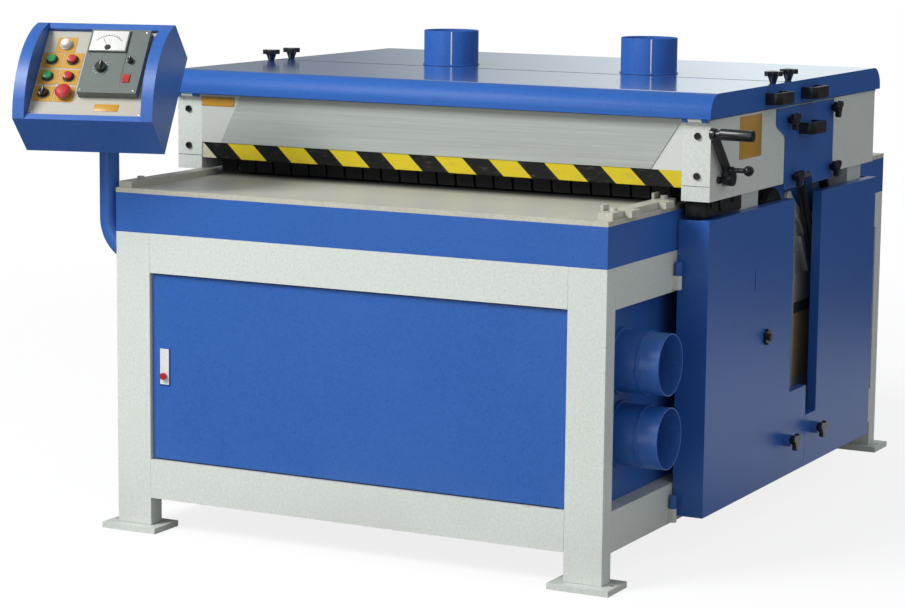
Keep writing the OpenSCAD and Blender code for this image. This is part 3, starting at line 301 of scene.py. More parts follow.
amberPaint = {
    "dark": (0.460, 0.225, 0.018), "light": (0.590, 0.315, 0.030), "grainScale": 420.0,
    "cloud": (0.560, 0.300, 0.030), "clouding": 0.5,
    "dust": (0.4, 0.3, 0.2), "dusting": 0.0, "dustTop": 0.1,
    "scuff": (0.40, 0.22, 0.05), "scuffing": 0.3, "roughness": (0.30, 0.45),
    "peelScale": 700.0, "peelDepth": 0.0001, "coat": 0.2, "coatRoughness": 0.2, "shine": 0.40,
}
# tan of the label on the mid post, lifted well above the label's own colour: painted light inside
# the shaded slot between the belt doors
litTanPaint = dict(
    amberPaint, dark=(0.660, 0.500, 0.240), light=(0.780, 0.600, 0.320),
    cloud=(0.70, 0.56, 0.32), scuff=(0.50, 0.40, 0.22))
castIron = {
    "dark": (0.120, 0.122, 0.126), "light": (0.185, 0.188, 0.192), "streak": (160.0, 160.0, 160.0),
    "stain": (0.10, 0.085, 0.07), "stainScale": 14.0, "staining": 0.45,
    "metallic": 0.75, "shine": 0.5, "roughness": (0.36, 0.55), "streakDepth": 0.0006,
}
groundSteel = {
    "dark": (0.44, 0.45, 0.45), "light": (0.58, 0.59, 0.59), "streak": (700.0, 60.0, 60.0),
    "stain": (0.30, 0.29, 0.27), "stainScale": 11.0, "staining": 0.35,
    "metallic": 0.9, "shine": 0.5, "roughness": (0.22, 0.38), "streakDepth": 0.0002,
}
arborSteel = dict(groundSteel, darkFrom=0.699, pulley=(0.030, 0.031, 0.033))
# near-black iron for the kickback fingers and the bearing block under the belt-side housing:
# painted shade, darker than the iron itself, for parts that sit in shadow
shadeBlackIron = {
    "dark": (0.007, 0.008, 0.008), "light": (0.015, 0.016, 0.016), "streak": (120.0, 120.0, 40.0),
    "stain": (0.03, 0.022, 0.016), "stainScale": 16.0, "staining": 0.4,
    "metallic": 0.0, "shine": 0.2, "roughness": (0.45, 0.65), "streakDepth": 0.0005,
}
brushedPlate = {
    "bareSlope": 0.49, "bareFrom": -1.0985, "painted": (0.57, 0.60, 0.56),
    "dark": (0.355, 0.385, 0.355), "light": (0.455, 0.490, 0.455), "streak": (2.5, 40.0, 240.0),
    "stain": (0.33, 0.35, 0.33), "stainScale": 5.0, "staining": 0.35,
    "metallic": 0.12, "shine": 0.5, "roughness": (0.30, 0.46), "streakDepth": 0.0003,
}
blackPlastic = {
    "dark": (0.006, 0.006, 0.007), "light": (0.012, 0.012, 0.014),
    "grainScale": 380.0, "grainDepth": 0.0003,
    "wear": (0.05, 0.05, 0.055), "wearing": 0.35, "roughness": (0.24, 0.42), "coat": 0.25,
}
blackRubber = {
    "dark": (0.008, 0.008, 0.009), "light": (0.020, 0.020, 0.021),
    "grainScale": 240.0, "grainDepth": 0.0006,
    "wear": (0.06, 0.06, 0.06), "wearing": 0.45, "roughness": (0.55, 0.75), "coat": 0.0,
}
controllerPlastic = {
    "dark": (0.092, 0.115, 0.100), "light": (0.130, 0.155, 0.140),
    "grainScale": 420.0, "grainDepth": 0.0003,
    "wear": (0.17, 0.19, 0.18), "wearing": 0.35, "roughness": (0.38, 0.55), "coat": 0.1,
}
redPlastic = {
    "dark": (0.360, 0.012, 0.012), "light": (0.480, 0.022, 0.020),
    "grainScale": 300.0, "grainDepth": 0.0001,
    "wear": (0.55, 0.10, 0.08), "wearing": 0.4, "roughness": (0.22, 0.36), "coat": 0.4,
}
greenPlastic = {
    "dark": (0.012, 0.220, 0.075), "light": (0.020, 0.300, 0.105),
    "grainScale": 300.0, "grainDepth": 0.0001,
    "wear": (0.08, 0.42, 0.20), "wearing": 0.4, "roughness": (0.22, 0.36), "coat": 0.4,
}
whitePlastic = {
    "dark": (0.66, 0.66, 0.63), "light": (0.76, 0.76, 0.73),
    "grainScale": 260.0, "grainDepth": 0.0001,
    "wear": (0.58, 0.57, 0.53), "wearing": 0.4, "roughness": (0.24, 0.4), "coat": 0.3,
}

# yellow and black slanted stripes along the lower part of the beams, enamel above them
hazard = {
    "yellow": (0.640, 0.500, 0.020), "black": (0.007, 0.008, 0.007), "pitch": 0.1542,
    "share": 0.51, "start": -0.609, "slant": 1.05, "topZ": 0.9585, "enamel": (0.60, 0.63, 0.59),
    "faded": (0.56, 0.53, 0.38), "fadedBefore": -0.3,
    "wear": {"scale": 1.0, "detail": 5.0}, "wearStretch": (30.0, 30.0, 90.0),
    "wearRange": (0.55, 0.8), "wearing": 0.35, "worn": (0.20, 0.19, 0.12),
    "roughRange": (0.3, 0.7), "roughness": (0.28, 0.46), "shine": 0.25,
    "peel": {"scale": 300.0, "detail": 2.0}, "peelDepth": 0.0003,
}


def hazardFinish(name):
    material, tree, shader, place = startFinish(name)
    axes = axesOf(tree, place)
    offset = -hazard["start"] - hazard["slant"] * hazard["topZ"]
    drop = maths(tree, "MULTIPLY_ADD", axes["Z"], hazard["slant"], offset)
    phase = maths(tree, "DIVIDE", maths(tree, "ADD", axes["X"], drop), hazard["pitch"])
    dark = maths(tree, "GREATER_THAN", maths(tree, "FRACT", phase), hazard["share"])
    faded = maths(tree, "LESS_THAN", phase, hazard["fadedBefore"])
    yellow = mixColour(tree, faded, hazard["yellow"], hazard["faded"])
    tone = mixColour(tree, dark, yellow, hazard["black"])
    wear = noise(tree, stretched(tree, place, hazard["wearStretch"]), **hazard["wear"])
    wearing = spread(tree, wear, *hazard["wearRange"], 0.0, hazard["wearing"])
    tone = mixColour(tree, wearing, tone, hazard["worn"])
    above = maths(tree, "GREATER_THAN", axes["Z"], hazard["topZ"])
    tone = mixColour(tree, above, tone, hazard["enamel"])
    feed(tree, shader, {
        "Base Color": tone, "Specular IOR Level": hazard["shine"],
        "Roughness": spread(tree, wear, *hazard["roughRange"], *hazard["roughness"])})
    roughen(tree, shader, noise(tree, place, **hazard["peel"]), hazard["peelDepth"])
    return material


# blades: rings of grinding marks round the arbor, darker carbide tips
blade = {
    "tip": 0.0915, "steel": (0.42, 0.43, 0.44), "bright": (0.62, 0.63, 0.64),
    "carbide": (0.30, 0.31, 0.33), "ringScale": 900.0, "ringDetail": 3.0, "ringRange": (0.3, 0.7),
    "roughness": (0.18, 0.34), "metallic": 0.9, "ringDepth": 0.0002,
    "axes": {"upper_saw_blades": (0.190, 0.990), "lower_saw_blades": (-0.060, 0.800)},
}


def bladeFinish(name, y, z):
    material, tree, shader, place = startFinish(name)
    centred = addNode(tree, "Mapping", {
        "Vector": place, "Location": (0.0, -y, -z), "Scale": (0.0, 1.0, 1.0)}).outputs["Vector"]
    radius = measure(tree, "LENGTH", centred)
    rings = addNode(tree, "TexNoise", {
        "W": radius, "Scale": blade["ringScale"], "Detail": blade["ringDetail"]},
        noise_dimensions="1D").outputs["Fac"]
    tone = mixColour(
        tree, spread(tree, rings, *blade["ringRange"]), blade["steel"], blade["bright"])
    tips = maths(tree, "GREATER_THAN", radius, blade["tip"])
    tone = mixColour(tree, tips, tone, blade["carbide"])
    feed(tree, shader, {
        "Base Color": tone, "Metallic": blade["metallic"],
        "Roughness": spread(tree, rings, *blade["ringRange"], *blade["roughness"])})
    roughen(tree, shader, rings, blade["ringDepth"])
    return material


finishes = {
    "frame_enamel": paintFinish("frameEnamel", frameEnamel),
    "blue_paint": paintFinish("bluePaint", bluePaint),
    "table_enamel": paintFinish("tableEnamel", tableEnamel),
    "machine_grey": paintFinish("machineGrey", machineGrey),
    "panel_enamel": paintFinish("panelEnamel", panelEnamel),
    "cast_iron": metalFinish("castIron", castIron),
    "ground_steel": metalFinish("groundSteel", groundSteel),
    "brushed_plate": metalFinish("brushedPlate", brushedPlate),
    "black_plastic": mouldFinish("blackPlastic", blackPlastic),
    "black_rubber": mouldFinish("blackRubber", blackRubber),
    "controller_plastic": mouldFinish("controllerPlastic", controllerPlastic),
    "red_plastic": mouldFinish("redPlastic", redPlastic),
    "green_plastic": mouldFinish("greenPlastic", greenPlastic),
    "stripe_paint": hazardFinish("hazardStripes"),
}
ownFinishes = {
    "upper_arbor": metalFinish("arborSteel", arborSteel),
    "kickback_fingers": metalFinish("shadeBlackIron", shadeBlackIron),
    "hood_front": paintFinish("hoodPaint", hoodPaint),
}
ownFinishes["lower_arbor"] = ownFinishes["upper_arbor"]
for nodeName in ("hood_rear", "top_dust_ports"):
    ownFinishes[nodeName] = ownFinishes["hood_front"]
for nodeName, axis in blade["axes"].items():
    ownFinishes[nodeName] = bladeFinish(nodeName + "Steel", *axis)
for nodeName, node in nodes.items():
    finish = ownFinishes.get(nodeName) or finishes[slotOf[nodeName]]
    if not node.material_slots:
        node.data.materials.append(finish)
    for materialSlot in node.material_slots:
        materialSlot.material = finish
amber = paintFinish("amberPaint", amberPaint)
tan = paintFinish("litTanPaint", litTanPaint)
white = mouldFinish("whitePlastic", whitePlastic)
print("finishes on", len(nodes), "nodes")

# rounded edges of the solids, in metres
edgeRadius = {
    "base_posts": 0.0015, "base_rails": 0.0010, "foot_plates": 0.0012, "table_apron": 0.0015,
    "table_plates": 0.002, "end_housing_left": 0.002, "end_housing_right": 0.002,
    "head_beams": 0.0015, "upper_belt_guard": 0.001, "feed_fences": 0.002, "hood_front": 0.002,
    "hood_rear": 0.002, "hood_front_fittings": 0.003, "hood_rear_fittings": 0.003,
    "front_door": 0.001, "belt_door_front": 0.0012, "belt_door_rear": 0.0012,
    "belt_door_front_knob": 0.003, "belt_door_rear_knob": 0.003, "belt_door_lock": 0.002,
    "clamp_knobs": 0.003, "hand_crank": 0.003, "console_panel": 0.0008, "controller_box": 0.002,
    "start_button_upper": 0.001, "start_button_lower": 0.001, "stop_button_upper": 0.001,
    "stop_button_lower": 0.001, "emergency_stop": 0.005, "mode_selector": 0.0015,
    "speed_knob": 0.0015, "trim_knob": 0.001, "power_rocker": 0.0015, "top_dust_ports": 0.001,
    "lower_dust_pipes": 0.001, "kickback_fingers": 0.001, "pressure_beams": 0.003,
    "lock_button": 0.001, "motor_mounts": 0.002, "arbor_bearings": 0.002, "main_motors": 0.002,
    "electrical_panel": 0.002,
}
rounding = {"merge": 0.00001, "flatAngle": 0.4, "sharpAngle": 38.0, "segments": 3}


def softenEdges(nodeName, width):
    node = nodes[nodeName]
    weld = node.modifiers.new("weld", "WELD")
    weld.merge_threshold = rounding["merge"]
    flat = node.modifiers.new("flat", "DECIMATE")
    flat.decimate_type = "DISSOLVE"
    flat.angle_limit = math.radians(rounding["flatAngle"])
    bevel = node.modifiers.new("bevel", "BEVEL")
    bevel.width = width
    bevel.segments = rounding["segments"]
    bevel.limit_method = "ANGLE"
    bevel.angle_limit = math.radians(rounding["sharpAngle"])
    bevel.use_clamp_overlap = True
    bevel.harden_normals = True


for nodeName, width in edgeRadius.items():
    softenEdges(nodeName, width)
print("edges rounded on", len(edgeRadius), "nodes")


# shapes for the small fittings, stamped together into pieces that ride on a body
def stamp(target, part, place=None):
    if place is not None:
        bmesh.ops.transform(part, matrix=place, verts=part.verts)
    mesh = bpy.data.meshes.new("stamp")
    part.to_mesh(mesh)
    part.free()
    target.from_mesh(mesh)
    bpy.data.meshes.remove(mesh)


def plateShape(low, high, edge):
    bm = bmesh.new()
    bmesh.ops.create_cube(bm, size=1.0)
    bmesh.ops.scale(bm, vec=[b - a for a, b in zip(low, high)], verts=bm.verts)
    bmesh.ops.translate(bm, vec=[(a + b) / 2 for a, b in zip(low, high)], verts=bm.verts)
    bmesh.ops.bevel(
        bm, geom=bm.edges[:], offset=edge, segments=2, profile=0.5, affect="EDGES", material=-1)
    return bm


def holedPlate(half, centre, hole, thick, steps=32):
    wide, tall = half
    bm = bmesh.new()
    rim = bmesh.ops.create_circle(bm, cap_ends=False, segments=steps, radius=hole)["verts"]
    bmesh.ops.translate(bm, vec=(*centre, 0.0), verts=rim)
    outline = ((-wide, -tall), (wide, -tall), (wide, tall), (-wide, tall))
    corners = [bm.verts.new((x, y, 0.0)) for x, y in outline]
    for pair in zip(corners, corners[1:] + corners[:1]):
        bm.edges.new(pair)
    bmesh.ops.triangle_fill(bm, use_beauty=True, edges=bm.edges[:], normal=(0.0, 0.0, 1.0))
    grown = bmesh.ops.extrude_face_region(bm, geom=bm.faces[:], use_keep_orig=True)["geom"]
    lifted = [item for item in grown if isinstance(item, bmesh.types.BMVert)]
    bmesh.ops.translate(bm, vec=(0.0, 0.0, thick), verts=lifted)
    bmesh.ops.recalc_face_normals(bm, faces=bm.faces)
    return bm


poleGap = 0.000001


def turnedShape(profile, steps=32):
    bm = bmesh.new()
    rim = [bm.verts.new((radius, 0.0, height)) for radius, height in profile]
    links = [bm.edges.new(pair) for pair in zip(rim, rim[1:])]
    bmesh.ops.spin(
        bm, geom=rim + links, cent=(0.0, 0.0, 0.0), axis=(0.0, 0.0, 1.0),
        angle=2 * math.pi, steps=steps, use_merge=True)
    bmesh.ops.remove_doubles(bm, verts=bm.verts, dist=poleGap)
    bmesh.ops.recalc_face_normals(bm, faces=bm.faces)
    return bm


creaseAngle = 35.0


def placePiece(name, bm, finish, body):
    bmesh.ops.recalc_face_normals(bm, faces=bm.faces)
    mesh = bpy.data.meshes.new(name)
    bm.to_mesh(mesh)
    bm.free()
    mesh.materials.append(finish)
    mesh.shade_smooth()
    mesh.set_sharp_from_angle(angle=math.radians(creaseAngle))
    piece = bpy.data.objects.new(name, mesh)
    bpy.context.scene.collection.objects.link(piece)
    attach(piece, body)


def turned(degrees, axis):
    return Matrix.Rotation(math.radians(degrees), 4, axis)


def onFront(x, y, z):  # local z points out of a front face
    return Matrix.Translation((x, y, z)) @ turned(90.0, "X")


def onSide(x, y, z):  # local z points out of the belt side, local x runs to the rear
    return Matrix.Translation((x, y, z)) @ turned(90.0, "Z") @ turned(90.0, "X")


# dark seal along the joint of the two hood halves
hoodSeal = {"low": (-0.764, -0.0622, 1.1477), "high": (0.764, -0.0590, 1.1484), "edge": 0.0003}


def makeHoodSeal():
    seal = plateShape(hoodSeal["low"], hoodSeal["high"], hoodSeal["edge"])
    placePiece("hoodSeal", seal, finishes["black_rubber"], "hood_rear")


# beads up the top dust ports, turned toward the camera: seam beads, coloured white as a painted
# highlight
portHighlightBeads = {
    "centres": ((-0.258, 0.035), (0.335, 0.035)), "radius": 0.075, "turn": 27.5,
    "half": 0.0016, "proud": 0.0005, "thick": 0.0020, "edge": 0.0003, "heights": (1.1490, 1.2415),
}


def makePortHighlightBeads():
    lineStrips = bmesh.new()
    half, (low, high) = portHighlightBeads["half"], portHighlightBeads["heights"]
    near = -portHighlightBeads["radius"] - portHighlightBeads["proud"]
    far = near + portHighlightBeads["thick"]
    for x, y in portHighlightBeads["centres"]:
        strip = plateShape((-half, near, low), (half, far, high), portHighlightBeads["edge"])
        stamp(lineStrips, strip, Matrix.Translation((x, y, 0.0)) @ turned(portHighlightBeads["turn"], "Z"))
    placePiece("portHighlightBeads", lineStrips, white, "hood_rear")


# beads round the lower dust pipes
pipeBeads = {
    "x": 0.708, "y": -0.790, "heights": (0.344, 0.522), "steps": 64,
    "profile": (
        (0.0745, -0.0050), (0.0765, -0.0050), (0.0776, -0.0035), (0.0776, 0.0035),
        (0.0765, 0.0050), (0.0745, 0.0050), (0.0745, -0.0050)),
}


def makePipeBeads():
    beads = bmesh.new()
    for z in pipeBeads["heights"]:
        place = Matrix.Translation((pipeBeads["x"], pipeBeads["y"], z)) @ turned(90.0, "Y")
        stamp(beads, turnedShape(pipeBeads["profile"], pipeBeads["steps"]), place)
    placePiece("pipeBeads", beads, finishes["blue_paint"], "base")


# bearing block that hangs under the belt-side housing, in near-black iron: a real part, and painted
# shade for the dark gap there
bearingBlockInShade = {
    "low": (0.692, -0.556, 0.846), "high": (0.750, -0.325, 0.906), "edge": 0.004,
    "cap": (
        (0.0, -0.001), (0.0220, -0.001), (0.0220, 0.0040), (0.0205, 0.0055),
        (0.0100, 0.0055), (0.0090, 0.0045), (0.0, 0.0045)),
    "bolt": ((0.0, -0.001), (0.0060, -0.001), (0.0060, 0.0040), (0.0052, 0.0050), (0.0, 0.0050)),
    "capAt": (-0.460, 0.876), "boltsAt": ((-0.530, 0.876), (-0.390, 0.876)), "boltSides": 6,
}


def makeBearingBlockInShade():
    block = plateShape(bearingBlockInShade["low"], bearingBlockInShade["high"], bearingBlockInShade["edge"])
    face = bearingBlockInShade["high"][0]
    stamp(block, turnedShape(bearingBlockInShade["cap"]), onSide(face, *bearingBlockInShade["capAt"]))
    for at in bearingBlockInShade["boltsAt"]:
        bolt = turnedShape(bearingBlockInShade["bolt"], bearingBlockInShade["boltSides"])
        stamp(block, bolt, onSide(face, *at))
    placePiece("bearingBlockInShade", block, ownFinishes["kickback_fingers"], "base")


# screws and joint lines on the end housings
housingFront = {
    "x": 0.727, "y": -0.568, "screwHeights": (1.045, 0.948), "screwSteps": 24,
    "screw": (
        (0.0, -0.0005), (0.0085, -0.0005), (0.0085, 0.0046), (0.0078, 0.0054),
        (0.0046, 0.0054), (0.0041, 0.0030), (0.0, 0.0028)),
    "seamHeight": 0.923, "seamHalf": 0.0006, "seamEnds": (0.6885, 0.7600),
    "seamProud": 0.0004, "seamSunk": 0.0003, "seamEdge": 0.0001,
}


def makeHousingDetails():
    screws, lineStrips = bmesh.new(), bmesh.new()
    front, middle = housingFront["y"], housingFront["seamHeight"]
    near, far = front - housingFront["seamProud"], front + housingFront["seamSunk"]
    low, high = middle - housingFront["seamHalf"], middle + housingFront["seamHalf"]
    for side in (-1, 1):
        for z in housingFront["screwHeights"]:
            screw = turnedShape(housingFront["screw"], housingFront["screwSteps"])
            stamp(screws, screw, onFront(side * housingFront["x"], front, z))
        left, right = sorted(side * end for end in housingFront["seamEnds"])
        stamp(lineStrips, plateShape((left, near, low), (right, far, high), housingFront["seamEdge"]))
    placePiece("housingScrews", screws, finishes["black_plastic"], "base")
    placePiece("housingSeams", lineStrips, finishes["black_rubber"], "base")


# bare riveted plates on the head, plates on the mid post and one on the cabinet door
barePlates = {
    "front": {"place": (-0.636, -0.568, 1.067), "half": (0.051, 0.012)},
    "side": {"place": (0.761, -0.3055, 1.026), "half": (0.0745, 0.053)},
    "thick": 0.0010, "sunk": 0.0003, "edge": 0.0003, "rivetInset": 0.0050, "rivetSteps": 12,
    "rivet": ((0.0, -0.0003), (0.0019, -0.0003), (0.0018, 0.0005), (0.0010, 0.0011), (0.0, 0.0012)),
}
postPlates = {
    "x": 0.680, "ends": (0.257, 0.426), "thick": 0.0012, "sunk": 0.0003, "edge": 0.0004,
    "white": (0.528, 0.605), "grey": (0.498, 0.5275), "tan": (0.319, 0.4975),
}
lockPlate = {
    "place": (-0.541, -0.973, 0.428), "half": (0.0130, 0.0455), "thick": 0.0006,
    "buttonDrop": 0.02375, "hole": 0.0047,
}


def makePlates():
    plates, rivets = bmesh.new(), bmesh.new()
    thick, inset = barePlates["thick"], barePlates["rivetInset"]
    for key, turn in (("front", onFront), ("side", onSide)):
        place = turn(*barePlates[key]["place"])
        wide, tall = barePlates[key]["half"]
        low, high = (-wide, -tall, -barePlates["sunk"]), (wide, tall, thick)
        stamp(plates, plateShape(low, high, barePlates["edge"]), place)
        for across in (inset - wide, wide - inset):
            for up in (inset - tall, tall - inset):
                rivet = turnedShape(barePlates["rivet"], barePlates["rivetSteps"])
                stamp(rivets, rivet, place @ Matrix.Translation((across, up, thick)))
    placePiece("amberPlates", plates, amber, "base")
    placePiece("plateRivets", rivets, finishes["ground_steel"], "base")
    back, face = postPlates["x"] - postPlates["sunk"], postPlates["x"] + postPlates["thick"]
    near, far = postPlates["ends"]
    for key, finish, slot in (
            ("white", white, "frame_enamel"),
            ("grey", finishes["controller_plastic"], "controller_plastic"),
            ("tan", tan, "panel_enamel")):
        low, high = postPlates[key]
        plate = plateShape((back, near, low), (face, far, high), postPlates["edge"])
        placePiece(key + "PostPlate", plate, finish, "base")
    plate = holedPlate(
        lockPlate["half"], (0.0, -lockPlate["buttonDrop"]), lockPlate["hole"], lockPlate["thick"])
    bmesh.ops.transform(plate, matrix=onFront(*lockPlate["place"]), verts=plate.verts)
    placePiece("lockPlate", plate, white, "front_door")


makeHoodSeal()
makePortHighlightBeads()
makePipeBeads()
makeBearingBlockInShade()
makeHousingDetails()
makePlates()
print("plates and screws placed")

# console face: u runs to the right, s up the slope, n out of the face, in millimetres;
# arm and lip, which place the face, are in metres
console = {
    "arm": (-0.716, -0.955, 0.0), "yaw": 16.0, "lip": (0.0, -0.209, 1.058), "tilt": 49.0,
    "panel": -9.0, "box": 13.0, "meter": 18.0, "sunk": 0.2,
    "controls": ((-120, 188), (-120, 136), (-120, 84), (-66, 188), (-66, 136), (-66, 84)),
    "plateHalf": (25.5, 23.2), "plateThick": 0.9, "bossRadius": 15.4,
    "blank": (19, 35, 82, 56), "blankEdge": 0.3,
    "bezel": (
        (11.7, -6.2), (14.8, -6.2), (14.8, -5.0), (14.0, -4.3), (12.3, -4.3), (11.7, -4.9),
        (11.7, -6.2)),
    "lamp": (-93, 236.6), "lampRadius": 16.4, "lampDrop": 0.6,
    "dome": (
        (0.0, -4.5), (12.7, -4.5), (12.7, 2.2), (12.2, 4.6), (10.6, 6.8), (8.0, 8.5),
        (4.3, 9.5), (0.0, 9.8)),
    "screw": ((0.0, -0.3), (3.4, -0.3), (3.3, 0.9), (2.2, 1.6), (0.0, 1.8)), "screwSteps": 16,
    "panelScrews": ((-140, 27), (140, 27), (-140, 271), (140, 271)),
    "boxScrews": ((-19, 84), (118, 84), (118, 264)),
}
millimetre = 0.001
consoleFace = (
    Matrix.Translation(console["arm"]) @ turned(console["yaw"], "Z")
    @ Matrix.Translation(console["lip"]) @ turned(console["tilt"], "X")
    @ Matrix.Scale(millimetre, 4))


def onFace(u, s, n, turn=0.0):
    return consoleFace @ Matrix.Translation((u, s, n)) @ turned(turn, "Z")


def makeControlPlates():
    plates, rings, screws = bmesh.new(), bmesh.new(), bmesh.new()
    level, thick, drop = console["panel"], console["plateThick"], console["lampDrop"]
    for at in console["controls"]:
        plate = holedPlate(console["plateHalf"], (0.0, 0.0), console["bossRadius"], thick)
        stamp(plates, plate, onFace(*at, level))
        stamp(rings, turnedShape(console["bezel"]), onFace(*at, 0.0))
    plate = holedPlate(console["plateHalf"], (0.0, -drop), console["lampRadius"], thick)
    stamp(plates, plate, onFace(*console["lamp"], level))
    left, low, right, high = console["blank"]
    blank = plateShape(
        (left, low, level - console["sunk"]), (right, high, level + thick), console["blankEdge"])
    stamp(plates, blank, consoleFace)
    for spots, seat in ((console["panelScrews"], level), (console["boxScrews"], console["box"])):
        for at in spots:
            screw = turnedShape(console["screw"], console["screwSteps"])
            stamp(screws, screw, onFace(*at, seat))
    placePiece("controlPlates", plates, amber, "console")
    placePiece("controlBezels", rings, finishes["black_plastic"], "console")
    placePiece("consoleScrews", screws, finishes["ground_steel"], "console")
    dome = turnedShape(console["dome"])
    u, s = console["lamp"]
    bmesh.ops.transform(dome, matrix=onFace(u, s - drop, 0.0), verts=dome.verts)
    placePiece("lampDome", dome, white, "console")


# meter on the controller: its face, a scale in short straight pieces, needle and hub,
# and the line that divides the controller's front
meter = {
    "plate": (-20, 203, 72, 263), "thick": 0.7, "edge": 0.3, "centre": (26, 211),
    "arc": (37.0, 38.2), "from": 35.0, "to": 145.0, "steps": 22,
    "tickTo": 43.0, "ticks": 12, "tickHalf": 0.4,
    "markSunk": 0.1, "markThick": 0.25, "markEdge": 0.05,
    "needle": ((4.0, -0.5, 0.1), (35.0, 0.5, 0.6)), "needleAngle": 118.0, "needleEdge": 0.1,
    "hub": ((0.0, -0.1), (8.0, -0.1), (8.0, 1.2), (7.0, 2.0), (0.0, 2.2)), "hubSteps": 24,
    "hubRise": 1.0, "divide": (77.2, 82, 78.4, 266), "divideThick": 0.3, "divideEdge": 0.1,
}


def makeMeter():
    left, low, right, high = meter["plate"]
    top, sunk = console["meter"] + meter["thick"], console["sunk"]
    face = plateShape((left, low, console["meter"] - sunk), (right, high, top), meter["edge"])
    bmesh.ops.transform(face, matrix=consoleFace, verts=face.verts)
    placePiece("meterFace", face, white, "console")
    marks = bmesh.new()

    def addMark(near, far, half, turn):
        low, high = (near, -half, -meter["markSunk"]), (far, half, meter["markThick"])
        mark = plateShape(low, high, meter["markEdge"])
        stamp(marks, mark, onFace(*meter["centre"], top, turn))

    inner, outer = meter["arc"]
    step = (meter["to"] - meter["from"]) / meter["steps"]
    for index in range(meter["steps"]):
        half = outer * math.tan(math.radians(step / 2))
        addMark(inner, outer, half, meter["from"] + (index + 0.5) * step)
    for index in range(meter["ticks"]):
        turn = meter["from"] + index * (meter["to"] - meter["from"]) / (meter["ticks"] - 1)
        addMark(outer, meter["tickTo"], meter["tickHalf"], turn)
    needle = plateShape(*meter["needle"], meter["needleEdge"])
    stamp(marks, needle, onFace(*meter["centre"], top, meter["needleAngle"]))
    u, s = meter["centre"]
    stamp(marks, turnedShape(meter["hub"], meter["hubSteps"]), onFace(u, s + meter["hubRise"], top))
    left, low, right, high = meter["divide"]
    bottom, crest = console["box"] - sunk, console["box"] + meter["divideThick"]
    line = plateShape((left, low, bottom), (right, high, crest), meter["divideEdge"])
    stamp(marks, line, consoleFace)
    placePiece("meterMarks", marks, finishes["black_plastic"], "console")


# ticks round the speed knob, and a pointer on each knob that turns
dial = {
    "centre": (20, 152), "radius": (17.2, 20.6), "half": 0.5, "span": 150.0, "ticks": 11,
    "sunk": 0.1, "thick": 0.3, "edge": 0.1,
}
knobMarks = {
    "mode_selector": {"at": (-120, 84), "top": 7.0, "reach": (1.5, 10.0)},
    "speed_knob": {"at": (20, 152), "top": 26.8, "reach": (1.5, 13.0)},
    "trim_knob": {"at": (92, 174), "top": 25.3, "reach": (1.0, 7.2)},
}
pointer = {"half": 0.6, "sunk": 0.2, "thick": 0.25, "edge": 0.1}


def makeDialMarks():
    ticks = bmesh.new()
    inner, outer = dial["radius"]
    for index in range(dial["ticks"]):
        turn = 90.0 - dial["span"] + index * 2 * dial["span"] / (dial["ticks"] - 1)
        tick = plateShape(
            (inner, -dial["half"], -dial["sunk"]), (outer, dial["half"], dial["thick"]),
            dial["edge"])
        stamp(ticks, tick, onFace(*dial["centre"], console["box"], turn))
    placePiece("dialTicks", ticks, white, "console")
    for body, mark in knobMarks.items():
        near, far = mark["reach"]
        bm = plateShape(
            (-pointer["half"], near, -pointer["sunk"]), (pointer["half"], far, pointer["thick"]),
            pointer["edge"])
        bmesh.ops.transform(bm, matrix=onFace(*mark["at"], mark["top"]), verts=bm.verts)
        placePiece(body + "_mark", bm, white, body)


makeControlPlates()
makeMeter()
makeDialMarks()
print("console fitted out")

# floor and world: the camera sees white, mirrored rays see a floor that fades out
# away from the machine and a sky with one pale card
stage = {
    "size": 160.0, "tone": 0.46, "roughness": 0.9,
    "showWhite": 0.84, "whiteFrom": 2.0, "whiteTo": 5.0,
    "glareAt": (1.3, 1.5, 0.0), "glareFrom": 0.4, "glareTo": 2.3,
    "glareNear": 0.72, "glareFar": 0.05,
    "world": 0.30, "wall": 0.75, "worldTint": (0.93, 0.96, 1.0),
    "sky": 0.28, "cardSlope": 0.46, "cardLeft": (-0.10, 0.07), "cardRight": (0.05, -0.10),
    "cardTint": (0.92, 1.0, 1.0),
}
pureWhite = (1.0, 1.0, 1.0)


# the ray that comes from the camera, and any ray that carries an image
def imageRays(tree):
    rays = addNode(tree, "LightPath").outputs
    seen = maths(tree, "MAXIMUM", rays["Is Camera Ray"], rays["Is Glossy Ray"])
    return rays["Is Camera Ray"], maths(tree, "MAXIMUM", seen, rays["Is Transmission Ray"])


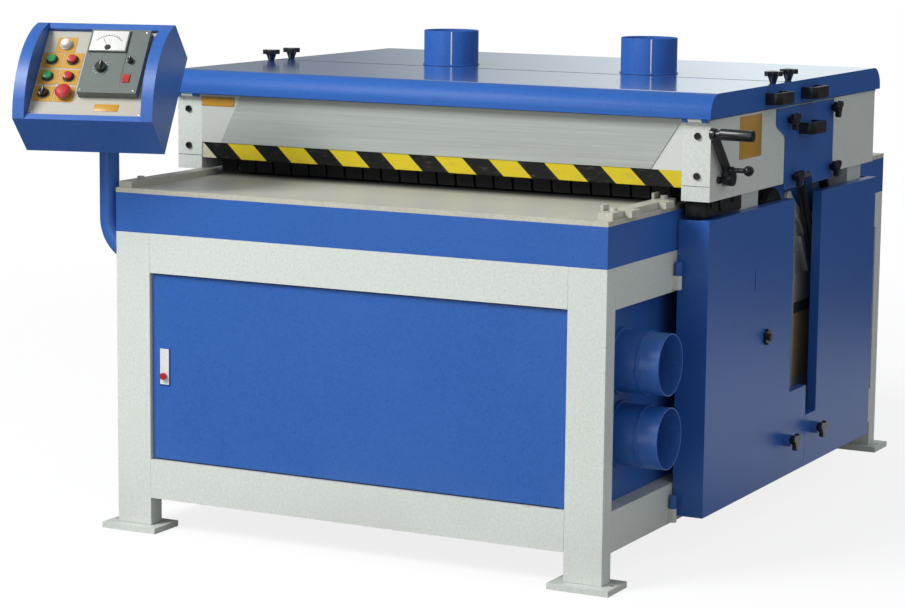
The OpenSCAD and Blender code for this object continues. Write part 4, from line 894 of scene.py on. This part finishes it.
def makeFloor():
    bm = bmesh.new()
    bmesh.ops.create_grid(bm, x_segments=1, y_segments=1, size=stage["size"] / 2)
    mesh = bpy.data.meshes.new("floor")
    bm.to_mesh(mesh)
    bm.free()
    floor = bpy.data.objects.new("floor", mesh)
    bpy.context.scene.collection.objects.link(floor)
    material, tree, shader, place = startFinish("paleFloor")
    camera, seen = imageRays(tree)
    grey = (stage["tone"], stage["tone"], stage["tone"])
    feed(tree, shader, {
        "Base Color": mixColour(tree, camera, grey, pureWhite), "Roughness": stage["roughness"],
        "Specular IOR Level": 0.0})
    fade = spread(
        tree, measure(tree, "DISTANCE", place, stage["glareAt"]), stage["glareFrom"],
        stage["glareTo"], stage["glareNear"], stage["glareFar"], interpolation_type="SMOOTHSTEP")
    bright = maths(tree, "MAXIMUM", fade, camera)
    glow = addNode(tree, "Emission", {"Color": rgba(pureWhite), "Strength": bright})
    away = measure(tree, "LENGTH", place)
    paleness = spread(
        tree, away, stage["whiteFrom"], stage["whiteTo"], stage["showWhite"], 1.0)
    share = maths(tree, "MULTIPLY", seen, paleness)
    mix = addNode(tree, "MixShader", {
        0: share, 1: shader.outputs["BSDF"], 2: glow.outputs["Emission"]})
    feed(tree, tree.nodes["Material Output"], {"Surface": mix.outputs["Shader"]})
    mesh.materials.append(material)


def makeWorld():
    world = bpy.data.worlds.new("studio")
    bpy.context.scene.world = world
    world.use_nodes = True
    tree = world.node_tree
    camera, seen = imageRays(tree)
    axes = axesOf(tree, addNode(tree, "TexCoord").outputs["Generated"])
    lean = maths(tree, "MULTIPLY_ADD", axes["Y"], stage["cardSlope"], axes["X"])
    card = maths(
        tree, "MULTIPLY", spread(tree, lean, *stage["cardLeft"]),
        spread(tree, axes["X"], *stage["cardRight"]))
    level = maths(tree, "MAXIMUM", between(tree, card, stage["sky"], 1.0), camera)
    wall = between(tree, axes["X"], stage["world"], stage["wall"])  # pale wall on the belt side
    soft = addNode(tree, "Background", {"Color": rgba(stage["worldTint"]), "Strength": wall})
    tint = mixColour(tree, camera, stage["cardTint"], pureWhite)
    plain = addNode(tree, "Background", {"Color": tint, "Strength": level})
    mix = addNode(tree, "MixShader", {
        0: seen, 1: soft.outputs["Background"], 2: plain.outputs["Background"]})
    feed(tree, tree.nodes["World Output"], {"Surface": mix.outputs["Shader"]})


lamps = {
    "key": {"at": (-4.0, -6.6, 7.0), "aim": (0.0, -0.4, 0.6), "size": 4.0, "power": 920.0},
    "front": {"at": (-0.4, -9.0, 1.4), "aim": (0.0, -0.9, 0.8), "size": 4.0, "power": 65.0},
}


def makeLamps():
    for name, lamp in lamps.items():
        light = bpy.data.lights.new(name, "AREA")
        light.size = lamp["size"]
        light.energy = lamp["power"]
        holder = bpy.data.objects.new(name, light)
        holder.location = lamp["at"]
        aim = Vector(lamp["aim"]) - Vector(lamp["at"])
        holder.rotation_euler = aim.to_track_quat("-Z", "Y").to_euler()
        bpy.context.scene.collection.objects.link(holder)


makeFloor()
makeWorld()
makeLamps()
print("stage set")
